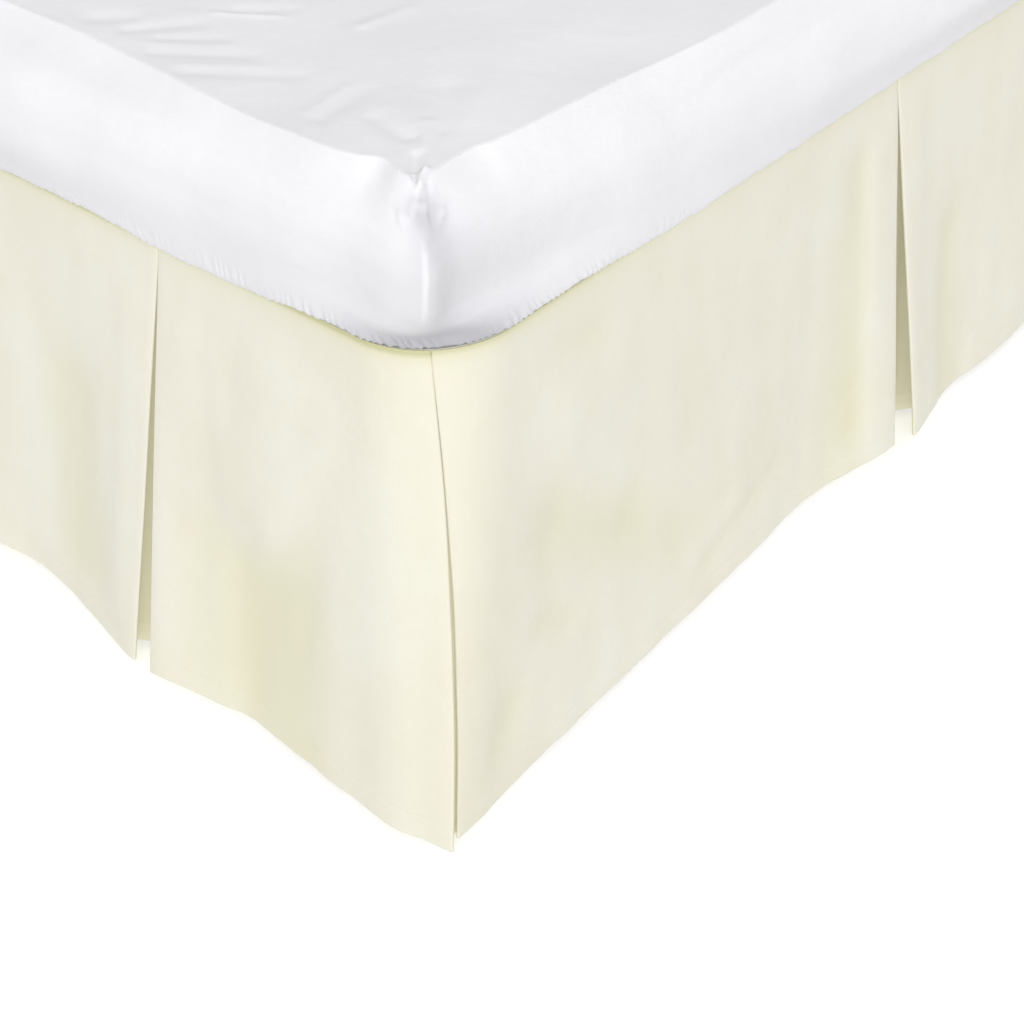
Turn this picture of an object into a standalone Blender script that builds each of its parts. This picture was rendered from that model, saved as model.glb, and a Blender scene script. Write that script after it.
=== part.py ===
"""Box-pleated bed skirt on a single divan bed.

The skirt is a flat deck that lies between base and mattress, with three drops sewn to its edge:
one across the foot end and one down each long side. Each drop is one strip of cloth with two
inverted box pleats. At the foot corners the drops are split, their ends are turned back, and a
separate underlay hangs behind the split. The head end is open.

Metres, +Z up. The bed lies along Y with its head at +Y. The origin is on the floor, in the middle
of the whole footprint with the flared hems, so the bed itself sits BED_SHIFT towards the head.

A drop is worked out in the flat frame of its own face: u runs along the face from a foot corner,
v points out of the face, and h is the height from the hem (0) to the seam at the deck (1).
"""

from collections import namedtuple
from math import cos, exp, pi, radians, sin, sqrt

import bmesh
import bpy

# --- bed -----------------------------------------------------------------------------------
BED_WIDTH = 0.90
BED_LENGTH = 1.90
DROP = 0.395                 # hem to deck seam
HEM_CLEARANCE = 0.008        # hem to floor
BASE_TOP = HEM_CLEARANCE + DROP
BASE_INSET = 0.010           # base sides, inside the faces of the skirt
BASE_EDGE = 0.012            # rounding of the base's top and bottom edges
GLIDE_HEIGHT = 0.055
GLIDE_RADIUS = 0.026
GLIDE_INSET = 0.11           # glide centres, in from the base's sides and ends
MATTRESS_HEIGHT = 0.136
MATTRESS_CROWN = 0.006       # rise of the top's middle over its edge
MATTRESS_BORDER = 0.055      # width of the slope round the crown, less than the plan corners
MATTRESS_TOP_EDGE = 0.020    # rounding where the sides meet the top
MATTRESS_LOW_EDGE = 0.006    # and the bottom
FOOT_RADIUS = 0.080          # plan corners at the foot end, and all of the mattress's
HEAD_RADIUS = 0.030          # plan corners of base and deck at the head end
GAP = 0.0003                 # between pieces that touch

# --- cloth ---------------------------------------------------------------------------------
CLOTH = 0.0012               # thickness of the drops and the underlays
DECK_CLOTH = 0.0015
TURN = 0.0011                # radius of a folded edge, to the middle of the cloth
LAYER = 2 * TURN             # from one layer of a pleat to the next
RETURN = 0.090               # cloth folded back behind each flap of a pleat
END_RETURN = 0.070           # cloth turned back at a foot corner
EDGE_GAP = 0.0010            # from the middle of a closed slit to its folded edges
SLIT_SHIFT = 0.003           # top of a corner slit, off the diagonal towards the foot end
SLIT_BOW = 0.0045            # sideways bow of a corner slit at half height
SLIT_BOW_REACH = 0.09        # how far along the face the bow dies away
UNDERLAY_STATIONS = (0.024, 0.043, 0.062, 0.081, 0.100)    # along the deck from the split
UNDERLAY_DEPTH = 0.0062      # corner underlay behind the faces, at the hem
UNDERLAY_SLACK = 0.0045      # and how much further at half height
UNDERLAY_CORNER = 0.010      # radius of its bend at the hem
FOOT_SPREAD = 1.25           # cloth at the hem for cloth at the deck, next to a split corner
SIDE_SPREAD = 1.13
ROWS = (0.0, 0.13, 0.26, 0.39, 0.52, 0.65, 0.78, 0.91, 1.0)    # heights of the cloth's points
FOOT_SPACING = 0.030         # between points along the flat panels
SIDE_SPACING = 0.048
CORNER_SPACING = 0.013       # and round the foot corners

# Hems, by face: distance along the face, how far the hem stands out beyond the deck's edge.
FOOT_HEM = (
    (-0.064, 0.074), (-0.035, 0.080), (-0.016, 0.084), (0.030, 0.082), (0.081, 0.078),
    (0.132, 0.075), (0.184, 0.073), (0.228, 0.080), (0.284, 0.087), (0.309, 0.087),
    (0.366, 0.078), (0.407, 0.067), (0.449, 0.057), (0.500, 0.053), (0.550, 0.060),
    (0.590, 0.074), (0.613, 0.076), (0.660, 0.068), (0.720, 0.060), (0.800, 0.066),
    (0.880, 0.074), (0.964, 0.070),
)
RIGHT_HEM = (
    (-0.059, 0.058), (-0.030, 0.056), (0.022, 0.056), (0.082, 0.050), (0.143, 0.046),
    (0.205, 0.044), (0.271, 0.040), (0.334, 0.040), (0.370, 0.038), (0.411, 0.033),
    (0.487, 0.030), (0.545, 0.040), (0.604, 0.050), (0.633, 0.047), (0.657, 0.060),
    (0.705, 0.049), (0.764, 0.039), (0.850, 0.043), (0.950, 0.036), (1.050, 0.032),
    (1.150, 0.037), (1.220, 0.046), (1.255, 0.050), (1.279, 0.050), (1.320, 0.044),
    (1.400, 0.036), (1.550, 0.030), (1.700, 0.036), (1.800, 0.030), (1.870, 0.027),
)
LEFT_HEM = (
    (-0.062, 0.062), (0.000, 0.057), (0.100, 0.048), (0.220, 0.042), (0.340, 0.046),
    (0.460, 0.037), (0.560, 0.042), (0.622, 0.055), (0.646, 0.059), (0.720, 0.044),
    (0.860, 0.035), (1.000, 0.041), (1.140, 0.037), (1.220, 0.048), (1.256, 0.056),
    (1.281, 0.053), (1.360, 0.040), (1.520, 0.033), (1.700, 0.040), (1.870, 0.028),
)

# Pleats: place at the deck, near and far flap edge at the hem, and how deep the pocket is at the
# hem behind the near and the far flap.
Pleat = namedtuple("Pleat", "deck near far near_pocket far_pocket")
FOOT_PLEATS = (Pleat(0.300, 0.284, 0.309, 0.029, 0.013), Pleat(0.600, 0.591, 0.613, 0.026, 0.020))
RIGHT_PLEATS = (Pleat(0.633, 0.633, 0.657, 0.038, 0.016), Pleat(1.267, 1.255, 1.279, 0.026, 0.022))
LEFT_PLEATS = (Pleat(0.633, 0.622, 0.646, 0.026, 0.020), Pleat(1.267, 1.256, 1.281, 0.022, 0.026))

# Soft folds: both ends as (u, h), half width at each end, and how far the cloth stands out of its
# face at each end (below zero for a trough).
Fold = namedtuple("Fold", "u0 h0 u1 h1 width0 width1 lift0 lift1")
FOOT_FOLDS = (
    Fold(0.175, 0.84, 0.185, 0.62, 0.040, 0.040, 0.004, 0.006),
    Fold(0.188, 0.42, 0.190, 0.02, 0.030, 0.055, -0.006, -0.002),
    Fold(0.092, 0.86, 0.082, 0.06, 0.022, 0.026, 0.003, 0.003),
    Fold(0.348, 0.85, 0.345, 0.10, 0.018, 0.024, 0.003, 0.003),
    Fold(0.405, 0.80, 0.411, 0.10, 0.022, 0.030, -0.003, -0.004),
    Fold(0.520, 0.75, 0.500, 0.15, 0.030, 0.040, 0.003, 0.002),
    Fold(0.740, 0.80, 0.720, 0.10, 0.035, 0.045, -0.005, -0.003),
    Fold(0.860, 0.70, 0.900, 0.12, 0.030, 0.030, 0.004, 0.003),
)
RIGHT_FOLDS = (
    Fold(0.110, 0.93, 0.150, 0.87, 0.028, 0.032, -0.003, -0.004),
    Fold(0.100, 0.80, 0.180, 0.73, 0.035, 0.035, 0.004, 0.004),
    Fold(0.110, 0.60, 0.235, 0.36, 0.035, 0.035, -0.005, -0.005),
    Fold(0.415, 0.27, 0.330, 0.12, 0.024, 0.024, 0.004, 0.003),
    Fold(0.565, 0.80, 0.529, 0.03, 0.018, 0.034, -0.003, -0.006),
    Fold(0.594, 0.94, 0.592, 0.08, 0.020, 0.024, 0.002, 0.003),
    Fold(0.745, 0.50, 0.750, 0.04, 0.024, 0.030, -0.003, -0.004),
    Fold(0.960, 0.85, 0.930, 0.15, 0.045, 0.060, 0.004, 0.005),
    Fold(1.100, 0.70, 1.120, 0.10, 0.040, 0.045, -0.004, -0.005),
    Fold(1.480, 0.80, 1.440, 0.15, 0.045, 0.060, 0.004, 0.005),
    Fold(1.640, 0.75, 1.620, 0.10, 0.040, 0.050, -0.004, -0.005),
)
LEFT_FOLDS = (
    Fold(0.140, 0.85, 0.160, 0.30, 0.040, 0.050, 0.004, 0.003),
    Fold(0.330, 0.60, 0.350, 0.10, 0.040, 0.050, -0.005, -0.004),
    Fold(0.520, 0.75, 0.500, 0.08, 0.035, 0.045, 0.004, 0.003),
    Fold(0.900, 0.80, 0.870, 0.12, 0.045, 0.060, -0.004, -0.005),
    Fold(1.060, 0.65, 1.080, 0.12, 0.040, 0.045, 0.004, 0.004),
    Fold(1.500, 0.80, 1.530, 0.15, 0.045, 0.060, -0.004, -0.005),
    Fold(1.700, 0.70, 1.680, 0.12, 0.040, 0.045, 0.004, 0.004),
)

FOOT_REACH = max(out for along, out in FOOT_HEM) + CLOTH / 2
BED_SHIFT = FOOT_REACH / 2
DIAGONAL_ARC = FOOT_RADIUS * (1 - pi / 4)          # u of a corner's diagonal, along the arc
DIAGONAL_PLAN = FOOT_RADIUS * (1 - sqrt(0.5))      # and straight along the face

# --- finishes ---------------------------------------------------------------------------------
Finish = namedtuple("Finish", "name colour roughness")
CREAM_COTTON = Finish("cream_cotton", (0.82, 0.79, 0.66, 1), 0.85)
WHITE_COVER = Finish("white_cover", (0.86, 0.86, 0.89, 1), 0.80)
BASE_CLOTH = Finish("base_cloth", (0.55, 0.53, 0.49, 1), 0.90)
BLACK_PLASTIC = Finish("black_plastic", (0.02, 0.02, 0.02, 1), 0.45)

PARTS_COLLECTION = "bed_skirt_on_bed"
BED_FRAME = "bed_frame"


def clear_scene():
    """An empty scene with the parts' collection and the empty that carries the whole bed."""
    for old in list(bpy.data.objects):
        bpy.data.objects.remove(old, do_unlink=True)
    collection = bpy.data.collections.new(PARTS_COLLECTION)
    bpy.context.scene.collection.children.link(collection)
    frame = bpy.data.objects.new(BED_FRAME, None)
    frame.location = (0, BED_SHIFT, 0)
    collection.objects.link(frame)


def make_material(finish):
    """One Principled material for each finish, shared by the pieces that have it."""
    if finish.name in bpy.data.materials:
        return bpy.data.materials[finish.name]
    material = bpy.data.materials.new(finish.name)
    material.use_nodes = True
    shader = material.node_tree.nodes["Principled BSDF"]
    shader.inputs["Base Color"].default_value = finish.colour
    shader.inputs["Roughness"].default_value = finish.roughness
    shader.inputs["Metallic"].default_value = 0.0
    return material


def add_piece(name, build, finish, smooth_angle=40):
    """A named object on the bed's frame, from a finished bmesh."""
    mesh = bpy.data.meshes.new(name)
    build.to_mesh(mesh)
    build.free()
    mesh.materials.append(make_material(finish))
    mesh.shade_smooth()
    mesh.set_sharp_from_angle(angle=radians(smooth_angle))
    piece = bpy.data.objects.new(name, mesh)
    bpy.data.collections[PARTS_COLLECTION].objects.link(piece)
    piece.parent = bpy.data.objects[BED_FRAME]
    return piece


# --- curves in the frame of one face --------------------------------------------------------------
def smoothstep(x):
    """0 below 0, 1 above 1, and an even ease between."""
    x = min(max(x, 0.0), 1.0)
    return x * x * (3 - 2 * x)


def soft_curve(rows, x):
    """Height at x of a soft curve through rows of (x, y), carried on straight past its ends."""
    last = len(rows) - 1

    def slope(k):
        before, after = rows[max(k - 1, 0)], rows[min(k + 1, last)]
        return (after[1] - before[1]) / (after[0] - before[0])

    if x <= rows[0][0]:
        return rows[0][1] + slope(0) * (x - rows[0][0])
    if x >= rows[last][0]:
        return rows[last][1] + slope(last) * (x - rows[last][0])
    i = max(k for k in range(last) if rows[k][0] <= x)
    step = rows[i + 1][0] - rows[i][0]
    t = (x - rows[i][0]) / step
    ease = smoothstep(t)
    lean = step * t * (1 - t) * (slope(i) * (1 - t) - slope(i + 1) * t)
    return rows[i][1] * (1 - ease) + rows[i + 1][1] * ease + lean


def deck_point(u, depth, length, far_round):
    """(u, v) on the deck's edge, depth inside it; on a rounded foot corner u follows the arc."""
    inner = FOOT_RADIUS - depth
    if u < FOOT_RADIUS:
        angle = (FOOT_RADIUS - u) / FOOT_RADIUS
        return FOOT_RADIUS - inner * sin(angle), inner * cos(angle) - FOOT_RADIUS
    bend = length - FOOT_RADIUS
    if far_round and u > bend:
        angle = (u - bend) / FOOT_RADIUS
        return bend + inner * sin(angle), inner * cos(angle) - FOOT_RADIUS
    return u, -depth


def fold_lift(folds, u, h):
    """How far the soft folds lift the cloth out of its face at (u, h)."""
    total = 0.0
    for fold in folds:
        du, dz = fold.u1 - fold.u0, (fold.h1 - fold.h0) * DROP
        pu, pz = u - fold.u0, (h - fold.h0) * DROP
        along = min(max((pu * du + pz * dz) / (du * du + dz * dz), 0.0), 1.0)
        away = (pu - along * du) ** 2 + (pz - along * dz) ** 2
        width = fold.width0 + (fold.width1 - fold.width0) * along
        lift = fold.lift0 + (fold.lift1 - fold.lift0) * along
        total += lift * exp(-away / width ** 2)
    return total * smoothstep((1 - h) * 6)


# --- stations: lines of cloth from deck to hem ------------------------------------------------------
# Each is (u at the deck, depth at the deck, u at the hem, depth at the hem).
def run(start, end, steps):
    """Stations from start to end, without the first."""
    return [tuple(a + (b - a) * i / steps for a, b in zip(start, end))
            for i in range(1, steps + 1)]


def turned_edge(at, way, behind, steps=3):
    """Stations round a folded edge, from one layer to the next.

    way is +1 where the edge points to larger u, and behind is +1 where the cloth goes on in the
    layer behind and -1 where it comes forward.
    """
    bend = []
    for i in range(1, steps + 1):
        du = way * TURN * sin(pi * i / steps)
        deeper = behind * TURN * (1 - cos(pi * i / steps))
        bend.append((at[0] + du, at[1] + deeper, at[2] + du, at[3] + deeper))
    return bend


def pleat_stations(pleat):
    """One inverted box pleat, from the near flap's edge round to the far flap's edge."""
    near_edge = (pleat.deck - EDGE_GAP - TURN, 0.0, pleat.near - TURN, 0.0)
    far_edge = (pleat.deck + EDGE_GAP + TURN, LAYER, pleat.far + TURN, LAYER)
    near_fold = (near_edge[0] - RETURN, LAYER, near_edge[2] - RETURN, pleat.near_pocket - LAYER)
    far_fold = (far_edge[0] + RETURN, 2 * LAYER, far_edge[2] + RETURN, pleat.far_pocket)
    path = [near_edge] + turned_edge(near_edge, 1, 1)
    path += run(path[-1], near_fold, 2)
    path += turned_edge(near_fold, -1, 1)
    for u_deck, depth_deck, u_hem, depth_hem in run(path[-1], far_fold, 8):
        shallower = smoothstep((u_hem - pleat.far - 0.004) / 0.045)
        depth_hem = pleat.near_pocket + (pleat.far_pocket - pleat.near_pocket) * shallower
        path.append((u_deck, depth_deck, u_hem, depth_hem))
    path += turned_edge(far_fold, 1, -1)
    path += run(path[-1], far_edge, 2)
    path += turned_edge(far_edge, -1, -1)
    return path


def panel(start, end, length, spacing):
    """Stations of a panel between two folded edges, closer together on the deck's corners."""
    bends = [u for u in (FOOT_RADIUS, length - FOOT_RADIUS) if start[0] < u < end[0]]
    path = [start]
    for u in bends + [end[0]]:
        share = (u - start[0]) / (end[0] - start[0])
        stop = tuple(a + (b - a) * share for a, b in zip(start, end))
        rounded = u <= FOOT_RADIUS or path[-1][0] >= length - FOOT_RADIUS
        step = CORNER_SPACING if rounded else spacing
        path += run(path[-1], stop, max(2, round((u - path[-1][0]) / step)))
    return path[1:]


def strip_stations(start, pleats, end, length, spacing, end_turned):
    """Stations of a whole drop, from its turned-back start to its end."""
    turned_steps = round(END_RETURN / CORNER_SPACING)
    folded = (start[0], LAYER, start[1], LAYER)
    back = (start[0] + END_RETURN, LAYER, start[1] + END_RETURN, LAYER)
    path = [back] + run(back, folded, turned_steps) + turned_edge(folded, -1, -1)
    for pleat in pleats:
        bends = pleat_stations(pleat)
        path += panel(path[-1], bends[0], length, spacing) + bends[1:]
    last = (end[0], 0.0, end[1], 0.0)
    path += panel(path[-1], last, length, spacing)
    if end_turned:
        path += turned_edge(last, 1, 1)
        back = (last[0] - END_RETURN, LAYER, last[2] - END_RETURN, LAYER)
        path += run(path[-1], back, turned_steps)
    return path


# --- the skirt --------------------------------------------------------------------------------------
# A face's place and bows: bow_start and bow_end say which way a corner slit bows at half height,
# +1 out of this face and back along it.
Face = namedtuple("Face", "place length far_round hem folds bow_start bow_end")
FOOT_FACE = Face(lambda u, v: (BED_WIDTH / 2 - u, -BED_LENGTH / 2 - v),
                 BED_WIDTH, True, FOOT_HEM, FOOT_FOLDS, -1, 1)
RIGHT_FACE = Face(lambda u, v: (BED_WIDTH / 2 + v, -BED_LENGTH / 2 + u),
                  BED_LENGTH, False, RIGHT_HEM, RIGHT_FOLDS, 1, 0)
LEFT_FACE = Face(lambda u, v: (-BED_WIDTH / 2 - v, -BED_LENGTH / 2 + u),
                 BED_LENGTH, False, LEFT_HEM, LEFT_FOLDS, -1, 0)


def seam_height(h):
    """Height above the floor, from the hem to just under the deck's edge."""
    return HEM_CLEARANCE + (DROP - GAP) * h


def slit_bow(h, distance):
    """Sideways pull of a corner slit at height h, at a distance from it along the face."""
    return SLIT_BOW * sin(pi * h) * smoothstep(1 - distance / SLIT_BOW_REACH)


def face_point(face, station, h):
    """(x, y, z) of a station's cloth at height h."""
    u_deck, depth_deck, u_hem, depth_hem = station
    top_u, top_v = deck_point(u_deck, depth_deck, face.length, face.far_round)
    u = top_u * h + u_hem * (1 - h)
    v = top_v * h + (soft_curve(face.hem, u_hem) - depth_hem) * (1 - h)
    v += fold_lift(face.folds, u, h)
    slit_start = DIAGONAL_PLAN * h + face.hem[0][0] * (1 - h)
    slit_end = (face.length - DIAGONAL_PLAN) * h + face.hem[-1][0] * (1 - h)
    start = face.bow_start * slit_bow(h, u - slit_start)
    end = face.bow_end * slit_bow(h, slit_end - u)
    x, y = face.place(u + start - end, v + start + end)
    return x, y, seam_height(h)


def cloth_sheet(name, columns):
    """A sheet through columns of points, each from the hem up, with the cloth's thickness."""
    grid = bmesh.new()
    verts = [[grid.verts.new(point) for point in column] for column in columns]
    for left, right in zip(verts, verts[1:]):
        for k in range(len(left) - 1):
            grid.faces.new((left[k], right[k], right[k + 1], left[k + 1]))
    piece = add_piece(name, grid, CREAM_COTTON, smooth_angle=70)
    shell = piece.modifiers.new("cloth thickness", "SOLIDIFY")
    shell.thickness = CLOTH
    shell.offset = 0.0
    shell.use_even_offset = True
    return piece


def make_drop(name, face, stations):
    """One drop of the skirt."""
    columns = [[face_point(face, station, h) for h in ROWS] for station in stations]
    return cloth_sheet(name, columns)


def make_drops():
    """The drops of the foot end, the right side and the left side."""
    edge = EDGE_GAP + TURN
    foot_start = (DIAGONAL_ARC + SLIT_SHIFT + edge, FOOT_HEM[0][0] + TURN)
    foot_end = (BED_WIDTH - foot_start[0], FOOT_HEM[-1][0] - TURN)
    make_drop("drop_foot", FOOT_FACE,
              strip_stations(foot_start, FOOT_PLEATS, foot_end, BED_WIDTH, FOOT_SPACING, True))
    for name, face, pleats in (("drop_right", RIGHT_FACE, RIGHT_PLEATS),
                               ("drop_left", LEFT_FACE, LEFT_PLEATS)):
        start = (DIAGONAL_ARC - SLIT_SHIFT + edge, face.hem[0][0] + TURN)
        end = (BED_LENGTH - HEAD_RADIUS, face.hem[-1][0])
        stations = strip_stations(start, pleats, end, BED_LENGTH + FOOT_RADIUS, SIDE_SPACING, False)
        make_drop(name, face, stations)


def make_corner_underlay(name, side, mirrored):
    """The underlay behind a split foot corner, from the foot face round to a side face.

    In the corner's own plan frame, a runs along the foot face and b along the side face, both
    away from the corner. At the hem the cloth spreads as the flaps in front of it do.
    """
    def foot_u(a):
        return BED_WIDTH - a if mirrored else a

    def foot_out(a):
        return soft_curve(FOOT_HEM, foot_u(a)) - UNDERLAY_DEPTH

    def side_out(b):
        return soft_curve(side.hem, b) - UNDERLAY_DEPTH

    foot_tip = BED_WIDTH - FOOT_HEM[-1][0] if mirrored else FOOT_HEM[0][0]
    side_tip = side.hem[0][0]
    corner_a, corner_b = -side_out(side_tip), -foot_out(foot_tip)
    bend = UNDERLAY_CORNER
    plan = []                       # arc at the deck, a and b at the hem, angle of the bend so far
    for reach in UNDERLAY_STATIONS[::-1]:
        a = foot_tip + (reach - SLIT_SHIFT) * FOOT_SPREAD
        plan.append((-reach, a, -foot_out(a), 0.0))
    for turn in (0.0, pi / 8, pi / 4, 3 * pi / 8, pi / 2):
        plan.append((-bend * cos(2 * turn), corner_a + bend * (1 - sin(turn)),
                     corner_b + bend * (1 - cos(turn)), turn))
    for reach in UNDERLAY_STATIONS:
        b = side_tip + (reach + SLIT_SHIFT) * SIDE_SPREAD
        plan.append((reach, -side_out(b), b, pi / 2))

    columns = []
    for arc, hem_a, hem_b, turn in plan:
        along, out = deck_point(DIAGONAL_ARC + abs(arc), 2 * LAYER, BED_LENGTH, False)
        top_a, top_b = (-out, along) if arc > 0 else (along, -out)
        column = []
        for h in ROWS:
            pull = side.bow_start * slit_bow(h, abs(arc))
            a = top_a * h + hem_a * (1 - h) - pull
            b = top_b * h + hem_b * (1 - h) + pull
            back_a = UNDERLAY_SLACK * sin(pi * h) - fold_lift(side.folds, b, h)
            back_b = UNDERLAY_SLACK * sin(pi * h) - fold_lift(FOOT_FOLDS, foot_u(a), h)
            x = BED_WIDTH / 2 - a - back_a * sin(turn)
            y = b + back_b * cos(turn) - BED_LENGTH / 2
            column.append((-x if mirrored else x, y, seam_height(h)))
        columns.append(column)
    return cloth_sheet(name, columns)


# --- slabs ------------------------------------------------------------------------------------------
def round_edges(piece, low_edge, top_edge):
    """Rounds the outlines of a slab's flat bottom and of its top, each by its own radius."""
    heights = [vert.co.z for vert in piece.data.vertices]
    sides = [e for e in piece.data.edges if e.use_edge_sharp]
    weights = piece.data.attributes.new("bevel_weight_edge", "FLOAT", "EDGE")
    widest = max(low_edge, top_edge)
    for edge in sides:
        at_bottom = all(heights[k] == min(heights) for k in edge.vertices)
        weights.data[edge.index].value = (low_edge if at_bottom else top_edge) / widest
    rounding = piece.modifiers.new("edge rounding", "BEVEL")
    rounding.width = widest
    rounding.segments = 3
    rounding.limit_method = "WEIGHT"


def rounded_slab(name, low, high, foot_radius, head_radius, finish, crown=0.0):
    """A flat-bottomed block with rounded plan corners, and a crowned top if wanted."""
    slab = bmesh.new()
    bmesh.ops.create_cube(slab, size=1.0)
    for vert in slab.verts:
        for axis in range(3):
            vert.co[axis] = high[axis] if vert.co[axis] > 0 else low[axis]
    middle = (low[1] + high[1]) / 2
    for radius, at_head in ((foot_radius, False), (head_radius, True)):
        upright = [e for e in slab.edges
                   if abs(e.verts[0].co.z - e.verts[1].co.z) > 0.5 * (high[2] - low[2])
                   and (e.verts[0].co.y > middle) == at_head
                   and len([f for f in e.link_faces if len(f.verts) >= 4]) == 2
                   and e.calc_face_angle() > radians(80)]
        bmesh.ops.bevel(slab, geom=upright, offset=radius, segments=8, profile=0.5,
                        affect="EDGES")
    if crown:
        top = max(slab.faces, key=lambda face: face.calc_center_median().z)
        bmesh.ops.inset_region(slab, faces=[top], thickness=MATTRESS_BORDER, depth=crown)
    return add_piece(name, slab, finish)


def make_bed():
    """Divan base, the skirt's deck and the mattress, one on the other."""
    half_width, half_length = BED_WIDTH / 2, BED_LENGTH / 2
    inset = BASE_INSET
    base = rounded_slab("divan_base",
                        (-half_width + inset, -half_length + inset, GLIDE_HEIGHT + GAP),
                        (half_width - inset, half_length - inset, BASE_TOP),
                        FOOT_RADIUS - inset, HEAD_RADIUS - inset, BASE_CLOTH)
    round_edges(base, BASE_EDGE, BASE_EDGE)
    deck_low = BASE_TOP + GAP
    face = CLOTH / 2
    rounded_slab("skirt_deck",
                 (-half_width - face, -half_length - face, deck_low),
                 (half_width + face, half_length, deck_low + DECK_CLOTH),
                 FOOT_RADIUS + face, HEAD_RADIUS, CREAM_COTTON)
    mattress_low = deck_low + DECK_CLOTH + GAP
    mattress = rounded_slab("mattress",
                            (-half_width, -half_length, mattress_low),
                            (half_width, half_length,
                             mattress_low + MATTRESS_HEIGHT - MATTRESS_CROWN),
                            FOOT_RADIUS, FOOT_RADIUS, WHITE_COVER, crown=MATTRESS_CROWN)
    round_edges(mattress, MATTRESS_LOW_EDGE, MATTRESS_TOP_EDGE)


def make_glides():
    """Six plastic glides under the base."""
    side = BED_WIDTH / 2 - BASE_INSET - GLIDE_INSET
    end = BED_LENGTH / 2 - BASE_INSET - GLIDE_INSET
    for row, y in (("foot", -end), ("middle", 0.0), ("head", end)):
        for hand, x in (("left", -side), ("right", side)):
            glide = bmesh.new()
            bmesh.ops.create_cone(glide, cap_ends=True, segments=20, radius1=GLIDE_RADIUS * 0.85,
                                  radius2=GLIDE_RADIUS, depth=GLIDE_HEIGHT)
            bmesh.ops.translate(glide, verts=glide.verts, vec=(0, 0, GLIDE_HEIGHT / 2))
            piece = add_piece(f"glide_{row}_{hand}", glide, BLACK_PLASTIC)
            piece.location = (x, y, 0)


def main():
    """Builds the bed and the skirt that hangs from it."""
    clear_scene()
    make_bed()
    make_glides()
    make_drops()
    make_corner_underlay("corner_underlay_right", RIGHT_FACE, False)
    make_corner_underlay("corner_underlay_left", LEFT_FACE, True)


main()
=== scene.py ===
"""Looks of a box-pleated bed skirt on a single divan bed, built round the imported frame.

The skirt is a deck laid between base and mattress, with three drops sewn to its edge: one across
the foot end and one down each long side. Each drop is one strip of cloth with two inverted box
pleats. At the foot corners the drops are split, and a separate underlay hangs behind the split.

Metres, +Z up, the bed along Y with its head at +Y. A drop is worked out in the flat frame of its
own face: u runs along the face from a foot corner, v points out of the face, and h is the height
from the hem (0) to the seam at the deck (1).
"""

import logging
import math
from dataclasses import dataclass
from enum import Enum
from typing import Any, Iterable, Mapping, Optional, Sequence

import bpy
import numpy as np
from mathutils import Matrix, Vector


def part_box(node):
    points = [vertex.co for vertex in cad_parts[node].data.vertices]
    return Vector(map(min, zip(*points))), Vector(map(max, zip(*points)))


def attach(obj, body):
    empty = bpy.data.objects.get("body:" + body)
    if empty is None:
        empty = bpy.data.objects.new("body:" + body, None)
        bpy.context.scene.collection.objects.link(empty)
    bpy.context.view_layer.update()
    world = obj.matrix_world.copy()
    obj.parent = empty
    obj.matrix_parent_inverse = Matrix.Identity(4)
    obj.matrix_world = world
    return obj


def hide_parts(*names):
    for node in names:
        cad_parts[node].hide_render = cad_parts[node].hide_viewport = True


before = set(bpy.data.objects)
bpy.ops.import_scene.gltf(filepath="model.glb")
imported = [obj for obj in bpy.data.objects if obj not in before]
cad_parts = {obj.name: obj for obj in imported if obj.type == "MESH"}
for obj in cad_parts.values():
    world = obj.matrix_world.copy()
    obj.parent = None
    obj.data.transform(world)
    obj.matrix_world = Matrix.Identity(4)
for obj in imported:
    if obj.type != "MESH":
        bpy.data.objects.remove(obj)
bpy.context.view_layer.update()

log = logging.getLogger("bed_skirt")

Table = Sequence[tuple[float, float]]

MM = 0.001
BODY = "root"
PAINTED_SHADE = "painted_shade"                  # painted shade on a point of cloth: 1 for the full fold shade, 2 for the crevice shade


# --- curves ---------------------------------------------------------------------------------------
def ease(x: np.ndarray) -> np.ndarray:
    """0 below 0, 1 above 1, and an even ease between."""
    x = np.clip(x, 0.0, 1.0)
    return x * x * (3 - 2 * x)


def ease_past(x: np.ndarray | float, start: float, reach: float) -> np.ndarray:
    """0 up to start, 1 from reach past it, and an even ease between."""
    return ease((x - start) / reach)


def soft_curve(rows: Table, x: np.ndarray) -> np.ndarray:
    """Heights of a soft curve through rows of (x, y), carried on straight past its ends.

    Args:
        rows: points of the curve, from left to right.
        x: where to read it.

    Returns:
        The curve's height at each x.
    """
    at, height = np.array(rows, float).T
    slope = np.empty_like(at)
    slope[1:-1] = (height[2:] - height[:-2]) / (at[2:] - at[:-2])
    slope[0] = (height[1] - height[0]) / (at[1] - at[0])
    slope[-1] = (height[-1] - height[-2]) / (at[-1] - at[-2])
    i = np.clip(np.searchsorted(at, x, side="right") - 1, 0, len(at) - 2)
    step = at[i + 1] - at[i]
    t = np.clip((x - at[i]) / step, 0.0, 1.0)
    lean = step * t * (1 - t) * (slope[i] * (1 - t) - slope[i + 1] * t)
    inside = height[i] * (1 - ease(t)) + height[i + 1] * ease(t) + lean
    before = slope[0] * np.minimum(x - at[0], 0.0)
    after = slope[-1] * np.maximum(x - at[-1], 0.0)
    return inside + before + after


class Profile(Enum):
    """Section of a crease across its line."""

    SOFT = "a rounded roll"
    SHARP = "a pinched ridge"
    STEP = "a roll that falls off short on its right"


STEP_FALL = 3.5                # how much shorter the right side of a STEP is than its left
RIDGE_PINCH = 2.5              # how tightly a SHARP ridge is pinched


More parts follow.
